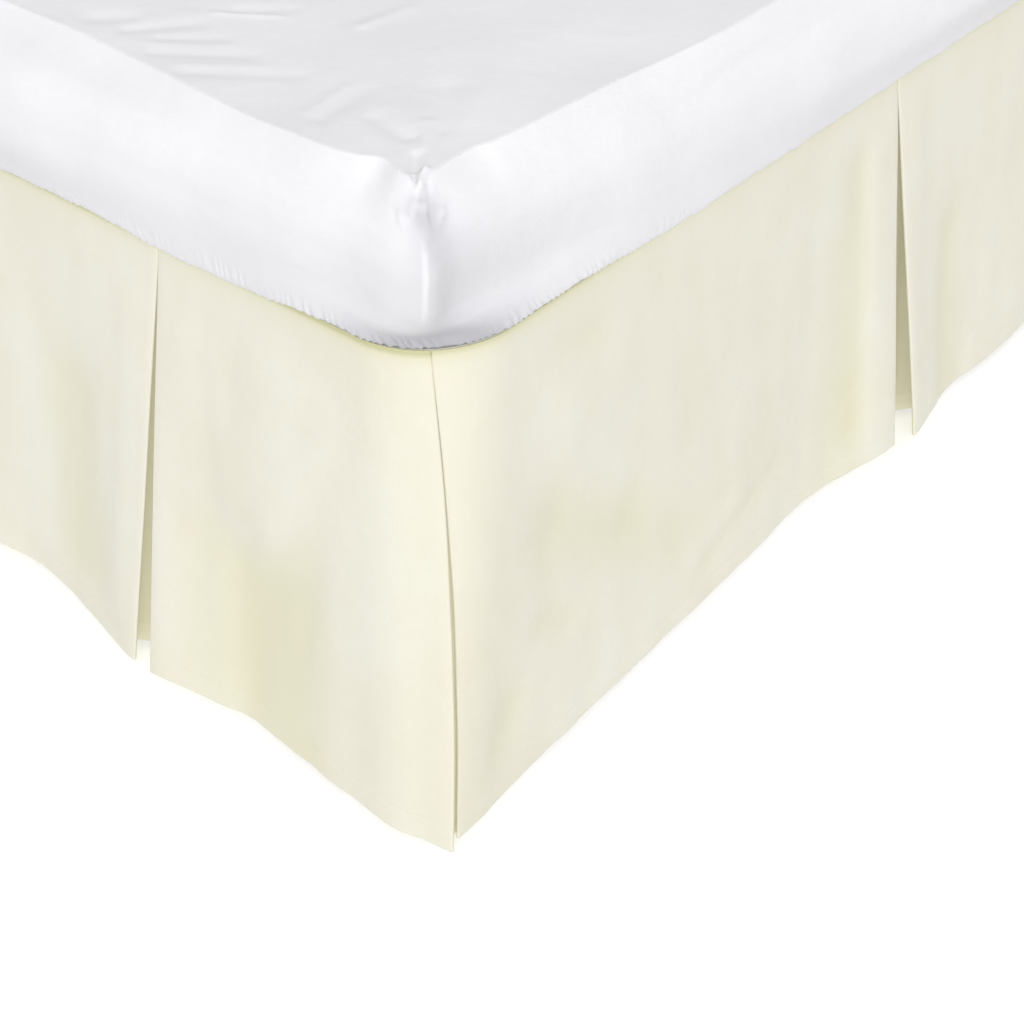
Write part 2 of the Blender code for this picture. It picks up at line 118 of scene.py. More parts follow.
def section(profile: Profile, across: np.ndarray, past: np.ndarray) -> np.ndarray:
    """Height of a crease of height 1.

    Args:
        profile: shape of the section.
        across: signed distance from the crease's line, in half widths, positive to its right.
        past: distance past the line's ends, in half widths.

    Returns:
        From 0, far from the crease, to 1 on its line.
    """
    if profile is Profile.STEP:
        across = np.where(across > 0, across * STEP_FALL, across)
    distance = across ** 2 + past ** 2
    if profile is Profile.SHARP:
        return 1.0 / (1.0 + distance * RIDGE_PINCH) ** 1.5
    return np.exp(-distance)


@dataclass(frozen=True)
class Crease:
    """A fold in a hanging cloth, from (u0, h0) to (u1, h1), with its half width and its lift."""

    u0: float
    h0: float
    u1: float
    h1: float
    width0: float
    width1: float
    lift0: float
    lift1: float
    profile: Profile = Profile.SOFT

    def lift(self, u: np.ndarray, z: np.ndarray, drop: float) -> np.ndarray:
        """How far the crease lifts the cloth.

        Args:
            u: place along the face.
            z: height above the hem, in metres.
            drop: height of the whole cloth.

        Returns:
            Lift out of the face at each point, in metres.
        """
        way = np.array([self.u1 - self.u0, (self.h1 - self.h0) * drop])
        length = float(np.hypot(*way))
        way = way / length
        pu, pz = u - self.u0, z - self.h0 * drop
        along = pu * way[0] + pz * way[1]
        across = pz * way[0] - pu * way[1]
        share = np.clip(along / length, 0.0, 1.0)
        past = along - share * length
        width = self.width0 + (self.width1 - self.width0) * share
        height = self.lift0 + (self.lift1 - self.lift0) * share
        return height * section(self.profile, across / width, past / width)


# --- meshes ---------------------------------------------------------------------------------------
def make_piece(name: str, points: np.ndarray, faces: list[tuple[int, ...]],
               uvs: Optional[np.ndarray] = None) -> bpy.types.Object:
    """A smooth-shaded mesh object.

    Args:
        name: name of the object.
        points: its vertices, as rows of x, y, z.
        faces: its faces, as indices of points.
        uvs: flat place of each face corner on its cloth, in metres.

    Returns:
        The object, linked to the scene.
    """
    mesh = bpy.data.meshes.new(name)
    mesh.from_pydata(points.tolist(), [], faces)
    if uvs is not None:
        layer = mesh.uv_layers.new(name="cloth")
        layer.data.foreach_set("uv", uvs.astype(np.float32).ravel())
    mesh.update()
    mesh.shade_smooth()
    piece = bpy.data.objects.new(name, mesh)
    bpy.context.scene.collection.objects.link(piece)
    return piece


def corner_points(faces: list[tuple[int, ...]]) -> np.ndarray:
    """Indices of the points at the corners of faces, face by face."""
    return np.array([k for face in faces for k in face])


def grid_faces(columns: int, rows: int) -> list[tuple[int, ...]]:
    """Quads of a grid whose points are numbered column by column.

    Args:
        columns: how many columns of points.
        rows: points in each column.

    Returns:
        The quads, as indices of points.
    """
    return [(k, k + rows, k + rows + 1, k + 1) for left in range(columns - 1)
            for k in range(left * rows, left * rows + rows - 1)]


def cloth_piece(name: str, columns: np.ndarray, thickness: float, painted_shade: np.ndarray
                ) -> bpy.types.Object:
    """A sheet through columns of points, with a cloth's thickness.

    Args:
        name: name of the object.
        columns: points, as columns x rows x 3, each column from the hem up.
        thickness: of the cloth.
        painted_shade: painted shade at each point, 1 for fold shade and 2 for crevice shade.

    Returns:
        The object, with its flat coordinates in metres.
    """
    count, rows = columns.shape[:2]
    steps = np.linalg.norm(np.diff(columns, axis=0), axis=2).mean(axis=1)
    arc = np.concatenate([[0.0], np.cumsum(steps)])
    climb = np.linalg.norm(np.diff(columns, axis=1), axis=2).mean(axis=0)
    rise = np.concatenate([[0.0], np.cumsum(climb)])
    uvs = np.stack(np.meshgrid(arc, rise, indexing="ij"), axis=-1).reshape(-1, 2)
    faces = grid_faces(count, rows)
    piece = make_piece(name, columns.reshape(-1, 3), faces, uvs[corner_points(faces)])
    set_painted_shade(piece, painted_shade)
    shell = piece.modifiers.new("cloth thickness", "SOLIDIFY")
    shell.thickness = thickness
    shell.offset = 0.0
    return piece


def set_painted_shade(piece: bpy.types.Object, painted_shade: np.ndarray) -> None:
    """Keeps each vertex's painted shade, 1 for the fold shade and 2 for the crevice shade."""
    depths = piece.data.attributes.new(PAINTED_SHADE, "FLOAT", "POINT")
    depths.data.foreach_set("value", painted_shade.astype(np.float32).ravel())


# --- materials ------------------------------------------------------------------------------------
def linear(hex_colour: str) -> tuple[float, float, float, float]:
    """Turns an sRGB colour to a linear one.

    Args:
        hex_colour: the sRGB colour as six hex digits.

    Returns:
        Linear red, green and blue, with an alpha of 1.
    """
    channels = [int(hex_colour[k:k + 2], 16) / 255 for k in (0, 2, 4)]
    red, green, blue = (c / 12.92 if c <= 0.04045 else ((c + 0.055) / 1.055) ** 2.4
                        for c in channels)
    return red, green, blue, 1.0


def wave_scale(period: float) -> float:
    """Scale of a wave texture whose bands repeat after period metres."""
    return 2 * math.pi / (20 * period)


def feed(tree: bpy.types.NodeTree, node: bpy.types.Node,
         values: Optional[Mapping[Any, Any]] = None,
         links: Optional[Mapping[Any, Any]] = None) -> None:
    """Sets the inputs of a node.

    Args:
        tree: the node tree.
        node: the node.
        values: input's name or number to its value.
        links: input's name or number to the output that feeds it.
    """
    for key, value in (values or {}).items():
        node.inputs[key].default_value = value
    for key, output in (links or {}).items():
        tree.links.new(output, node.inputs[key])


def add_node(tree: bpy.types.NodeTree, kind: str, values: Optional[Mapping[Any, Any]] = None,
             links: Optional[Mapping[Any, Any]] = None, **options: Any) -> bpy.types.Node:
    """Adds one node with its settings and links.

    Args:
        tree: the node tree.
        kind: type of the node, without its "ShaderNode" prefix.
        values: input's name or number to its value.
        links: input's name or number to the output that feeds it.
        **options: the node's own settings.

    Returns:
        The node.
    """
    node = tree.nodes.new("ShaderNode" + kind)
    for key, value in options.items():
        setattr(node, key, value)
    feed(tree, node, values, links)
    return node


class Finish:
    """The look of a surface.

    slot is the record's slot that it stands for; only the studio's own finish has none.
    """

    name: str
    slot: str

    def material(self) -> bpy.types.Material:
        """The finish as a node material, made the first time that it is asked for.

        Returns:
            The material.
        """
        if self.name not in bpy.data.materials:
            material = bpy.data.materials.new(self.name)
            material.use_nodes = True
            tree = material.node_tree
            self.paint(tree, tree.nodes["Principled BSDF"])
        return bpy.data.materials[self.name]

    def paint(self, tree: bpy.types.NodeTree, shader: bpy.types.Node) -> None:
        """Adds the finish's nodes to the tree of a new material, and feeds its shader."""
        raise NotImplementedError


@dataclass(frozen=True)
class WovenCotton(Finish):
    """Pressed plain-weave cotton: matt, soft at grazing angles, with a faint cloudy tone, and
    painted shade in its folds and crevices.

    thread is the spacing of the yarns that is drawn. Percale has about 0.25 mm between yarns,
    which is too fine to show, so both cloths are drawn coarser.
    """

    name: str
    slot: str
    light: str
    shade: str
    fold_shade: str                    # painted shade in folds and pockets, warmer as if the cloth lit itself
    thread: float
    weave_depth: float
    crinkle_depth: float
    roughness: float
    sheen: float
    crevice: str = "B7B58E"        # painted shade in the crevice between two cloths
    stitch_height: Optional[float] = None

    def paint(self, tree: bpy.types.NodeTree, shader: bpy.types.Node) -> None:
        """Adds weave, cloudy tone, painted shade and crinkles.

        Args:
            tree: node tree of a new material.
            shader: its Principled shader.
        """
        place = add_node(tree, "TexCoord")
        flat, solid = place.outputs["UV"], place.outputs["Object"]

        # warp and weft, each a wave along one way of the cloth, the higher one on top
        yarns = [add_node(tree, "TexWave", {"Scale": wave_scale(self.thread), "Distortion": 0.4,
                                            "Detail Scale": 0.5}, {"Vector": flat},
                          bands_direction=way) for way in "XY"]
        weave = add_node(tree, "Math", links={k: y.outputs["Fac"] for k, y in enumerate(yarns)},
                         operation="MAXIMUM")

        # cloudy tone: broad soft patches, and finer ones where yarns lie closer
        cloud = add_node(tree, "TexNoise", {"Scale": 9.0, "Detail": 3.0, "Roughness": 0.55},
                         {"Vector": solid})
        slub = add_node(tree, "TexNoise", {"Scale": 160.0, "Detail": 2.0}, {"Vector": solid})
        tone = add_node(tree, "Math", {1: 0.25}, {0: slub.outputs["Fac"],
                                                  2: cloud.outputs["Fac"]},
                        operation="MULTIPLY_ADD")
        spread = add_node(tree, "MapRange", {"From Min": 0.45, "From Max": 0.80},
                          {"Value": tone.outputs[0]})
        colour = add_node(tree, "Mix", {6: linear(self.light), 7: linear(self.shade)},
                          {0: spread.outputs[0]}, data_type="RGBA")

        # painted shade: a darker tone in folds, and a darker one still in crevices
        painted_shade = add_node(tree, "Attribute", attribute_name=PAINTED_SHADE)
        colour = add_node(tree, "Mix", {7: linear(self.fold_shade)},
                          {0: painted_shade.outputs["Fac"], 6: colour.outputs[2]}, data_type="RGBA")
        deeper = add_node(tree, "MapRange", {"From Min": 1.0, "From Max": 2.0},
                          {"Value": painted_shade.outputs["Fac"]})
        colour = add_node(tree, "Mix", {7: linear(self.crevice)},
                          {0: deeper.outputs[0], 6: colour.outputs[2]}, data_type="RGBA")

        # relief: crinkles left by the iron under the weave
        crinkle = add_node(tree, "TexNoise", {"Scale": 34.0, "Detail": 4.0, "Distortion": 0.3},
                           {"Vector": solid})
        soft = add_node(tree, "Bump", {"Strength": 1.0, "Distance": self.crinkle_depth},
                        {"Height": crinkle.outputs["Fac"]})
        fine = add_node(tree, "Bump", {"Strength": 0.5, "Distance": self.weave_depth},
                        {"Height": weave.outputs[0], "Normal": soft.outputs[0]})
        relief = fine.outputs[0]
        if self.stitch_height is not None:
            relief = self.stitches(tree, flat, relief)
        feed(tree, shader, {"Roughness": self.roughness, "Specular IOR Level": 0.25,
                            "Sheen Weight": self.sheen, "Sheen Roughness": 0.5},
             {"Base Color": colour.outputs[2], "Normal": relief})

    def stitches(self, tree: bpy.types.NodeTree, flat: bpy.types.NodeSocket,
                 relief: bpy.types.NodeSocket) -> bpy.types.NodeSocket:
        """A row of lock stitches along the hem, as small dents.

        Args:
            tree: the material's node tree.
            flat: the cloth's flat coordinates, in metres.
            relief: the normal that the stitches are pressed into.

        Returns:
            The normal with the stitches.
        """
        parts = add_node(tree, "SeparateXYZ", links={0: flat})
        offset = add_node(tree, "Math", {1: self.stitch_height}, {0: parts.outputs[1]},
                          operation="SUBTRACT")
        distance = add_node(tree, "Math", links={0: offset.outputs[0]}, operation="ABSOLUTE")
        line = add_node(tree, "MapRange", {"From Min": 0.4 * MM, "From Max": 0.9 * MM,
                                           "To Min": 1.0, "To Max": 0.0},
                        {"Value": distance.outputs[0]})
        stitch = add_node(tree, "TexWave", {"Scale": wave_scale(3.0 * MM)}, {"Vector": flat},
                          bands_direction="X")
        dents = add_node(tree, "Math", links={0: line.outputs[0], 1: stitch.outputs["Fac"]},
                         operation="MULTIPLY")
        pressed = add_node(tree, "Bump", {"Strength": 0.6, "Distance": 0.4 * MM},
                           {"Height": dents.outputs[0], "Normal": relief}, invert=True)
        return pressed.outputs[0]


@dataclass(frozen=True)
class WovenUpholstery(Finish):
    """Coarse basket-weave polyester on a padded base: matt, flecked, with a clear weave."""

    name: str = "oatmeal_woven_polyester"
    slot: str = "base_cloth"
    light: str = "C9C3B6"
    shade: str = "A39C8E"
    thread: float = 1.6 * MM       # real yarns are about 0.8 mm, drawn twice as coarse

    def paint(self, tree: bpy.types.NodeTree, shader: bpy.types.Node) -> None:
        """Adds weave and flecks.

        Args:
            tree: node tree of a new material.
            shader: its Principled shader.
        """
        solid = add_node(tree, "TexCoord").outputs["Object"]
        yarns = [add_node(tree, "TexWave", {"Scale": wave_scale(self.thread), "Distortion": 0.8},
                          {"Vector": solid}, bands_direction=way) for way in ("Z", "DIAGONAL")]
        weave = add_node(tree, "Math", links={k: y.outputs["Fac"] for k, y in enumerate(yarns)},
                         operation="MAXIMUM")
        fleck = add_node(tree, "TexNoise", {"Scale": 420.0, "Detail": 2.0}, {"Vector": solid})
        tone = add_node(tree, "Math", {1: 0.5}, {0: weave.outputs[0], 2: fleck.outputs["Fac"]},
                        operation="MULTIPLY_ADD")
        spread = add_node(tree, "MapRange", {"From Min": 0.55, "From Max": 1.0},
                          {"Value": tone.outputs[0]})
        colour = add_node(tree, "Mix", {6: linear(self.shade), 7: linear(self.light)},
                          {0: spread.outputs[0]}, data_type="RGBA")
        bump = add_node(tree, "Bump", {"Strength": 0.7, "Distance": 0.4 * MM},
                        {"Height": weave.outputs[0]})
        feed(tree, shader, {"Roughness": 0.9, "Specular IOR Level": 0.2, "Sheen Weight": 0.1},
             {"Base Color": colour.outputs[2], "Normal": bump.outputs[0]})


@dataclass(frozen=True)
class MouldedNylon(Finish):
    """Injection-moulded black nylon: half matt, with a fine spark-eroded grain."""

    name: str = "black_moulded_nylon"
    slot: str = "black_plastic"
    colour: str = "1B1B1C"
    scuffed: str = "2A2A2B"
    grain: float = 0.5 * MM        # mould grain of about 0.1 mm, drawn coarser

    def paint(self, tree: bpy.types.NodeTree, shader: bpy.types.Node) -> None:
        """Adds grain and scuffs.

        Args:
            tree: node tree of a new material.
            shader: its Principled shader.
        """
        solid = add_node(tree, "TexCoord").outputs["Object"]
        grain = add_node(tree, "TexNoise", {"Scale": 1 / self.grain, "Detail": 2.0},
                         {"Vector": solid})
        wear = add_node(tree, "TexNoise", {"Scale": 60.0, "Detail": 5.0}, {"Vector": solid})
        colour = add_node(tree, "Mix", {6: linear(self.colour), 7: linear(self.scuffed)},
                          {0: wear.outputs["Fac"]}, data_type="RGBA")
        bump = add_node(tree, "Bump", {"Strength": 0.25, "Distance": 0.1 * MM},
                        {"Height": grain.outputs["Fac"]})
        feed(tree, shader, {"Roughness": 0.42},
             {"Base Color": colour.outputs[2], "Normal": bump.outputs[0]})


@dataclass(frozen=True)
class PaperSweep(Finish):
    """Matt seamless studio paper: even, pale, without gloss."""

    name: str = "seamless_paper"
    light: str = "FBFBFB"
    shade: str = "F6F6F6"

    def paint(self, tree: bpy.types.NodeTree, shader: bpy.types.Node) -> None:
        """Adds faint fibres.

        Args:
            tree: node tree of a new material.
            shader: its Principled shader.
        """
        solid = add_node(tree, "TexCoord").outputs["Object"]
        fibre = add_node(tree, "TexNoise", {"Scale": 3.0, "Detail": 6.0}, {"Vector": solid})
        colour = add_node(tree, "Mix", {6: linear(self.light), 7: linear(self.shade)},
                          {0: fibre.outputs["Fac"]}, data_type="RGBA")
        feed(tree, shader, {"Roughness": 0.95, "Specular IOR Level": 0.1},
             {"Base Color": colour.outputs[2]})


def dress(piece: bpy.types.Object, finish: Finish, nodes: Sequence[str]) -> None:
    """Gives a piece its finish and its body, and hides the CAD nodes that it stands for.

    Args:
        piece: the piece.
        finish: its finish.
        nodes: CAD nodes that it replaces.
    """
    piece.data.materials.append(finish.material())
    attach(piece, BODY)
    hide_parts(*nodes)


HEM_DEPTH = 22 * MM            # height of the turned-up hem
STITCH_INSET = 2 * MM          # from the hem's upper edge down to its stitches

CREAM_PERCALE = WovenCotton(
    name="cream_pressed_percale", slot="cream_cotton", light="D5D3C7", shade="D3CFC0",
    thread=1.4 * MM, weave_depth=0.12 * MM, crinkle_depth=0.9 * MM, roughness=0.82, sheen=0.12,
    fold_shade="CECBB3", stitch_height=HEM_DEPTH - STITCH_INSET)
WHITE_PERCALE = WovenCotton(
    name="white_stretched_percale", slot="white_cover", light="DBDBDE", shade="D7D7DA",
    thread=1.4 * MM, weave_depth=0.10 * MM, crinkle_depth=1.0 * MM, roughness=0.78, sheen=0.10,
    fold_shade="A9A9AE")


# --- the bed's plan -------------------------------------------------------------------------------
SEAM_BELOW = 0.3 * MM          # from the deck's underside to the seam


@dataclass(frozen=True)
class BedPlan:
    """Sizes of the bed that the skirt hangs from, read from the frame."""

    half_width: float
    foot_y: float
    head_y: float
    hem_z: float
    seam_z: float
    foot_radius: float = 0.080
    head_radius: float = 0.030

    @classmethod
    def from_frame(cls) -> "BedPlan":
        """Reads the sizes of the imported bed.

        Returns:
            The bed's plan.
        """
        mattress_low, mattress_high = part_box("mattress")
        deck_low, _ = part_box("skirt_deck")
        hem_low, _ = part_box("drop_foot")
        return cls(half_width=mattress_high.x, foot_y=mattress_low.y, head_y=mattress_high.y,
                   hem_z=hem_low.z, seam_z=deck_low.z - SEAM_BELOW)

    @property
    def width(self) -> float:
        """Width of the bed."""
        return 2 * self.half_width

    @property
    def length(self) -> float:
        """Length of the bed."""
        return self.head_y - self.foot_y

    @property
    def drop(self) -> float:
        """Height of the skirt, hem to seam."""
        return self.seam_z - self.hem_z


BED = BedPlan.from_frame()
DIAGONAL_ARC = BED.foot_radius * (1 - math.pi / 4)
DIAGONAL_PLAN = BED.foot_radius * (1 - math.sqrt(0.5))


# --- hanging cloth --------------------------------------------------------------------------------
THICKNESS = 1.2 * MM           # of the drops and underlays
TURN = 1.1 * MM                # radius of a folded edge, to the middle of the cloth
LAYER = 2 * TURN               # from one layer of a pleat to the next
RETURN = 0.090                 # cloth folded back behind each flap of a pleat
END_RETURN = 0.070             # cloth turned back at a foot corner
EDGE_GAP = 0.4 * MM            # from the middle of a closed slit to its folded edges
SLIT_SHIFT = 3.0 * MM          # top of a corner slit, off the diagonal towards the foot end
SLIT_BOW = 4.5 * MM            # sideways bow of a corner slit at half height
SLIT_BOW_REACH = 0.09          # how far along the face the bow dies away
COLUMN = 8 * MM                # between columns of points
ROW = 8 * MM                   # between rows of points, away from hem and seam
TURN_STEPS = 6                 # columns round a folded edge
SEAM_RISE = 4.5 * MM           # of the outer layer past the deck's edge, up to the cover
SEAM_REACH = 10 * MM           # of the cloth below the seam that the rise draws up
FOLD_SHADE_DEPTH = 6 * MM             # below the face, where a fold gets its full painted shade
SEAM_SHADE = 0.9                # painted shade at the seam, for the cover's shadow,
SEAM_FADE = 7 * MM             # and how fast that fades below it
SLIT_SHADE = 0.25               # painted shade beside a corner slit,
SLIT_FADE = 0.11               # and how far along the face that reaches
CREVICE_SHADE_REACH = 3.5 * MM       # of the painted crevice shade under the cover, down the cloth
FOLD_FADE = 6                  # folds die away over the top sixth of the drop
HEM_FULLNESS = 0.25 * MM       # how much the turned-up hem stands out of the cloth above it

# slight waviness: its height, and rows of (share, turns along u, turns with h, turns with seed)
RIPPLE = 0.28 * MM
RIPPLE_WAVES = ((1.0, 61, 4.1, 1.0), (0.8, 97, -6.3, 2.1), (0.6, 33, 11, 3.7), (0.5, 151, 9, 5.3))
# puckers that the seam draws in: their height, how soon they start below it and how far they go
PUCKER, PUCKER_START, PUCKER_REACH = 0.35 * MM, 4 * MM, 14 * MM

FOOT_HEM = (
    (-0.064, 0.0725), (-0.035, 0.0775), (-0.016, 0.0825), (0.005, 0.0830), (0.030, 0.0810),
    (0.055, 0.0805), (0.105, 0.0800), (0.132, 0.0770), (0.184, 0.0735), (0.205, 0.0775),
    (0.228, 0.0800), (0.250, 0.0825), (0.284, 0.0875), (0.309, 0.0855), (0.340, 0.0800),
    (0.375, 0.0720), (0.407, 0.0645), (0.449, 0.0560), (0.500, 0.0530), (0.550, 0.0600),
    (0.590, 0.0740), (0.613, 0.0760), (0.660, 0.0680), (0.720, 0.0600), (0.800, 0.0660),
    (0.880, 0.0740), (0.964, 0.0700),
)
RIGHT_HEM = (
    (-0.059, 0.0585), (0.000, 0.0535), (0.060, 0.0500), (0.120, 0.0470), (0.240, 0.0420),
    (0.360, 0.0365), (0.420, 0.0330), (0.465, 0.0295), (0.487, 0.0280), (0.510, 0.0305),
    (0.533, 0.0340), (0.563, 0.0405), (0.593, 0.0450), (0.626, 0.0490), (0.640, 0.0500),
    (0.657, 0.0575), (0.680, 0.0535), (0.705, 0.0490), (0.735, 0.0440), (0.764, 0.0410),
    (0.790, 0.0395), (0.850, 0.0430), (0.950, 0.0360), (1.050, 0.0320), (1.150, 0.0370),
    (1.220, 0.0460), (1.255, 0.0500), (1.279, 0.0500), (1.320, 0.0440), (1.400, 0.0360),
    (1.550, 0.0300), (1.700, 0.0360), (1.800, 0.0300), (1.870, 0.0270),
)
LEFT_HEM = (
    (-0.062, 0.062), (0.000, 0.057), (0.100, 0.048), (0.220, 0.042), (0.340, 0.046),
    (0.460, 0.037), (0.560, 0.042), (0.622, 0.055), (0.646, 0.059), (0.720, 0.044),
    (0.860, 0.035), (1.000, 0.041), (1.140, 0.037), (1.220, 0.048), (1.256, 0.056),
    (1.281, 0.053), (1.360, 0.040), (1.520, 0.033), (1.700, 0.040), (1.870, 0.028),
)

FOOT_CREASES = (
    # the cloth is full in a soft V under the seam, and hangs straight below the V's point
    Crease(0.168, 0.80, 0.176, 0.56, 0.045, 0.045, 0.004, 0.006),
    Crease(0.226, 0.76, 0.204, 0.48, 0.026, 0.026, 0.0016, 0.0028, Profile.STEP),
    Crease(0.104, 0.80, 0.160, 0.50, 0.014, 0.018, 0.0016, 0.0022),
    # and sinks below it, from a straight edge near the corner to the pleat
    Crease(0.106, 0.03, 0.112, 0.32, 0.100, 0.100, -0.0050, -0.0050, Profile.STEP),
    Crease(0.205, 0.40, 0.195, 0.12, 0.045, 0.050, -0.0030, -0.0030),
    # rolls beside the pleats and the corner
    Crease(0.270, 0.86, 0.262, 0.50, 0.018, 0.020, 0.0015, 0.0012),
    Crease(0.334, 0.85, 0.334, 0.10, 0.016, 0.020, 0.002, 0.002),
    Crease(0.412, 0.56, 0.408, 0.16, 0.034, 0.040, -0.0035, -0.0045),
    Crease(-0.020, 0.55, -0.045, 0.04, 0.020, 0.022, 0.0006, 0.0010),
    # short puckers below the seam
    Crease(0.372, 0.975, 0.390, 0.90, 0.006, 0.009, 0.0012, 0.0006),
    Crease(0.390, 0.975, 0.406, 0.91, 0.006, 0.009, 0.0012, 0.0006),
    Crease(0.232, 0.975, 0.246, 0.92, 0.006, 0.010, -0.0010, -0.0005),
    # the far half
    Crease(0.520, 0.75, 0.500, 0.15, 0.030, 0.040, 0.003, 0.002),
    Crease(0.655, 0.90, 0.690, 0.40, 0.012, 0.014, 0.0012, 0.0015),
    Crease(0.740, 0.80, 0.720, 0.10, 0.035, 0.045, -0.005, -0.003),
    Crease(0.860, 0.70, 0.900, 0.12, 0.030, 0.030, 0.004, 0.003),
)
RIGHT_CREASES = (
    # beside the corner: a roll along the slit, and a dimple and a full patch under the seam
    Crease(0.020, 0.80, -0.020, 0.06, 0.018, 0.022, 0.0006, 0.0010),
    Crease(0.150, 0.915, 0.168, 0.895, 0.026, 0.026, -0.0024, -0.0024),
    Crease(0.140, 0.76, 0.190, 0.73, 0.032, 0.032, 0.003, 0.003),
    # a long slanting dent, and two small ones near the hem
    Crease(0.113, 0.52, 0.190, 0.40, 0.032, 0.034, -0.0040, -0.0025),
    Crease(0.200, 0.38, 0.285, 0.23, 0.034, 0.036, -0.0025, -0.0035),
    Crease(0.082, 0.315, 0.112, 0.280, 0.020, 0.020, -0.0030, -0.0030),
    Crease(0.030, 0.185, 0.008, 0.135, 0.020, 0.022, -0.0030, -0.0030),
    Crease(0.246, 0.985, 0.276, 0.878, 0.007, 0.012, -0.0014, -0.0010),
    # a thin fold that slants to the hem
    Crease(0.448, 0.230, 0.366, 0.192, 0.010, 0.012, 0.0006, 0.0018),
    Crease(0.366, 0.192, 0.300, 0.125, 0.012, 0.012, 0.0018, 0.0010),
    Crease(0.440, 0.205, 0.305, 0.100, 0.016, 0.018, -0.0016, -0.0020),
    # beside the pleat: a trough with a crisp far side, and a roll along the flap
    Crease(0.577, 0.82, 0.574, 0.15, 0.036, 0.038, -0.0036, -0.0042, Profile.STEP),
    Crease(0.560, 0.40, 0.548, 0.03, 0.034, 0.044, -0.0008, -0.0022),
    Crease(0.608, 0.94, 0.606, 0.08, 0.020, 0.020, 0.0015, 0.0020),
    Crease(0.666, 0.90, 0.668, 0.08, 0.016, 0.018, 0.0012, 0.0018),
    Crease(0.745, 0.50, 0.750, 0.04, 0.024, 0.030, -0.003, -0.004),
    # the far half
    Crease(0.960, 0.85, 0.930, 0.15, 0.045, 0.060, 0.004, 0.005),
    Crease(1.100, 0.70, 1.120, 0.10, 0.040, 0.045, -0.004, -0.005),
    Crease(1.180, 0.92, 1.150, 0.50, 0.014, 0.016, 0.0014, 0.0018),
    Crease(1.480, 0.80, 1.440, 0.15, 0.045, 0.060, 0.004, 0.005),
    Crease(1.640, 0.75, 1.620, 0.10, 0.040, 0.050, -0.004, -0.005),
    Crease(1.760, 0.90, 1.730, 0.45, 0.014, 0.016, 0.0014, 0.0016),
)
LEFT_CREASES = (
    Crease(0.140, 0.85, 0.160, 0.30, 0.040, 0.050, 0.004, 0.003),
    Crease(0.235, 0.92, 0.260, 0.50, 0.012, 0.015, -0.0014, -0.0018),
    Crease(0.330, 0.60, 0.350, 0.10, 0.040, 0.050, -0.005, -0.004),
    Crease(0.520, 0.75, 0.500, 0.08, 0.035, 0.045, 0.004, 0.003),
    Crease(0.700, 0.90, 0.720, 0.40, 0.014, 0.018, 0.0012, 0.0018),
    Crease(0.900, 0.80, 0.870, 0.12, 0.045, 0.060, -0.004, -0.005),
    Crease(1.060, 0.65, 1.080, 0.12, 0.040, 0.045, 0.004, 0.004),
    Crease(1.360, 0.92, 1.390, 0.45, 0.014, 0.016, -0.0012, -0.0018),
    Crease(1.500, 0.80, 1.530, 0.15, 0.045, 0.060, -0.004, -0.005),
    Crease(1.700, 0.70, 1.680, 0.12, 0.040, 0.045, 0.004, 0.004),
)


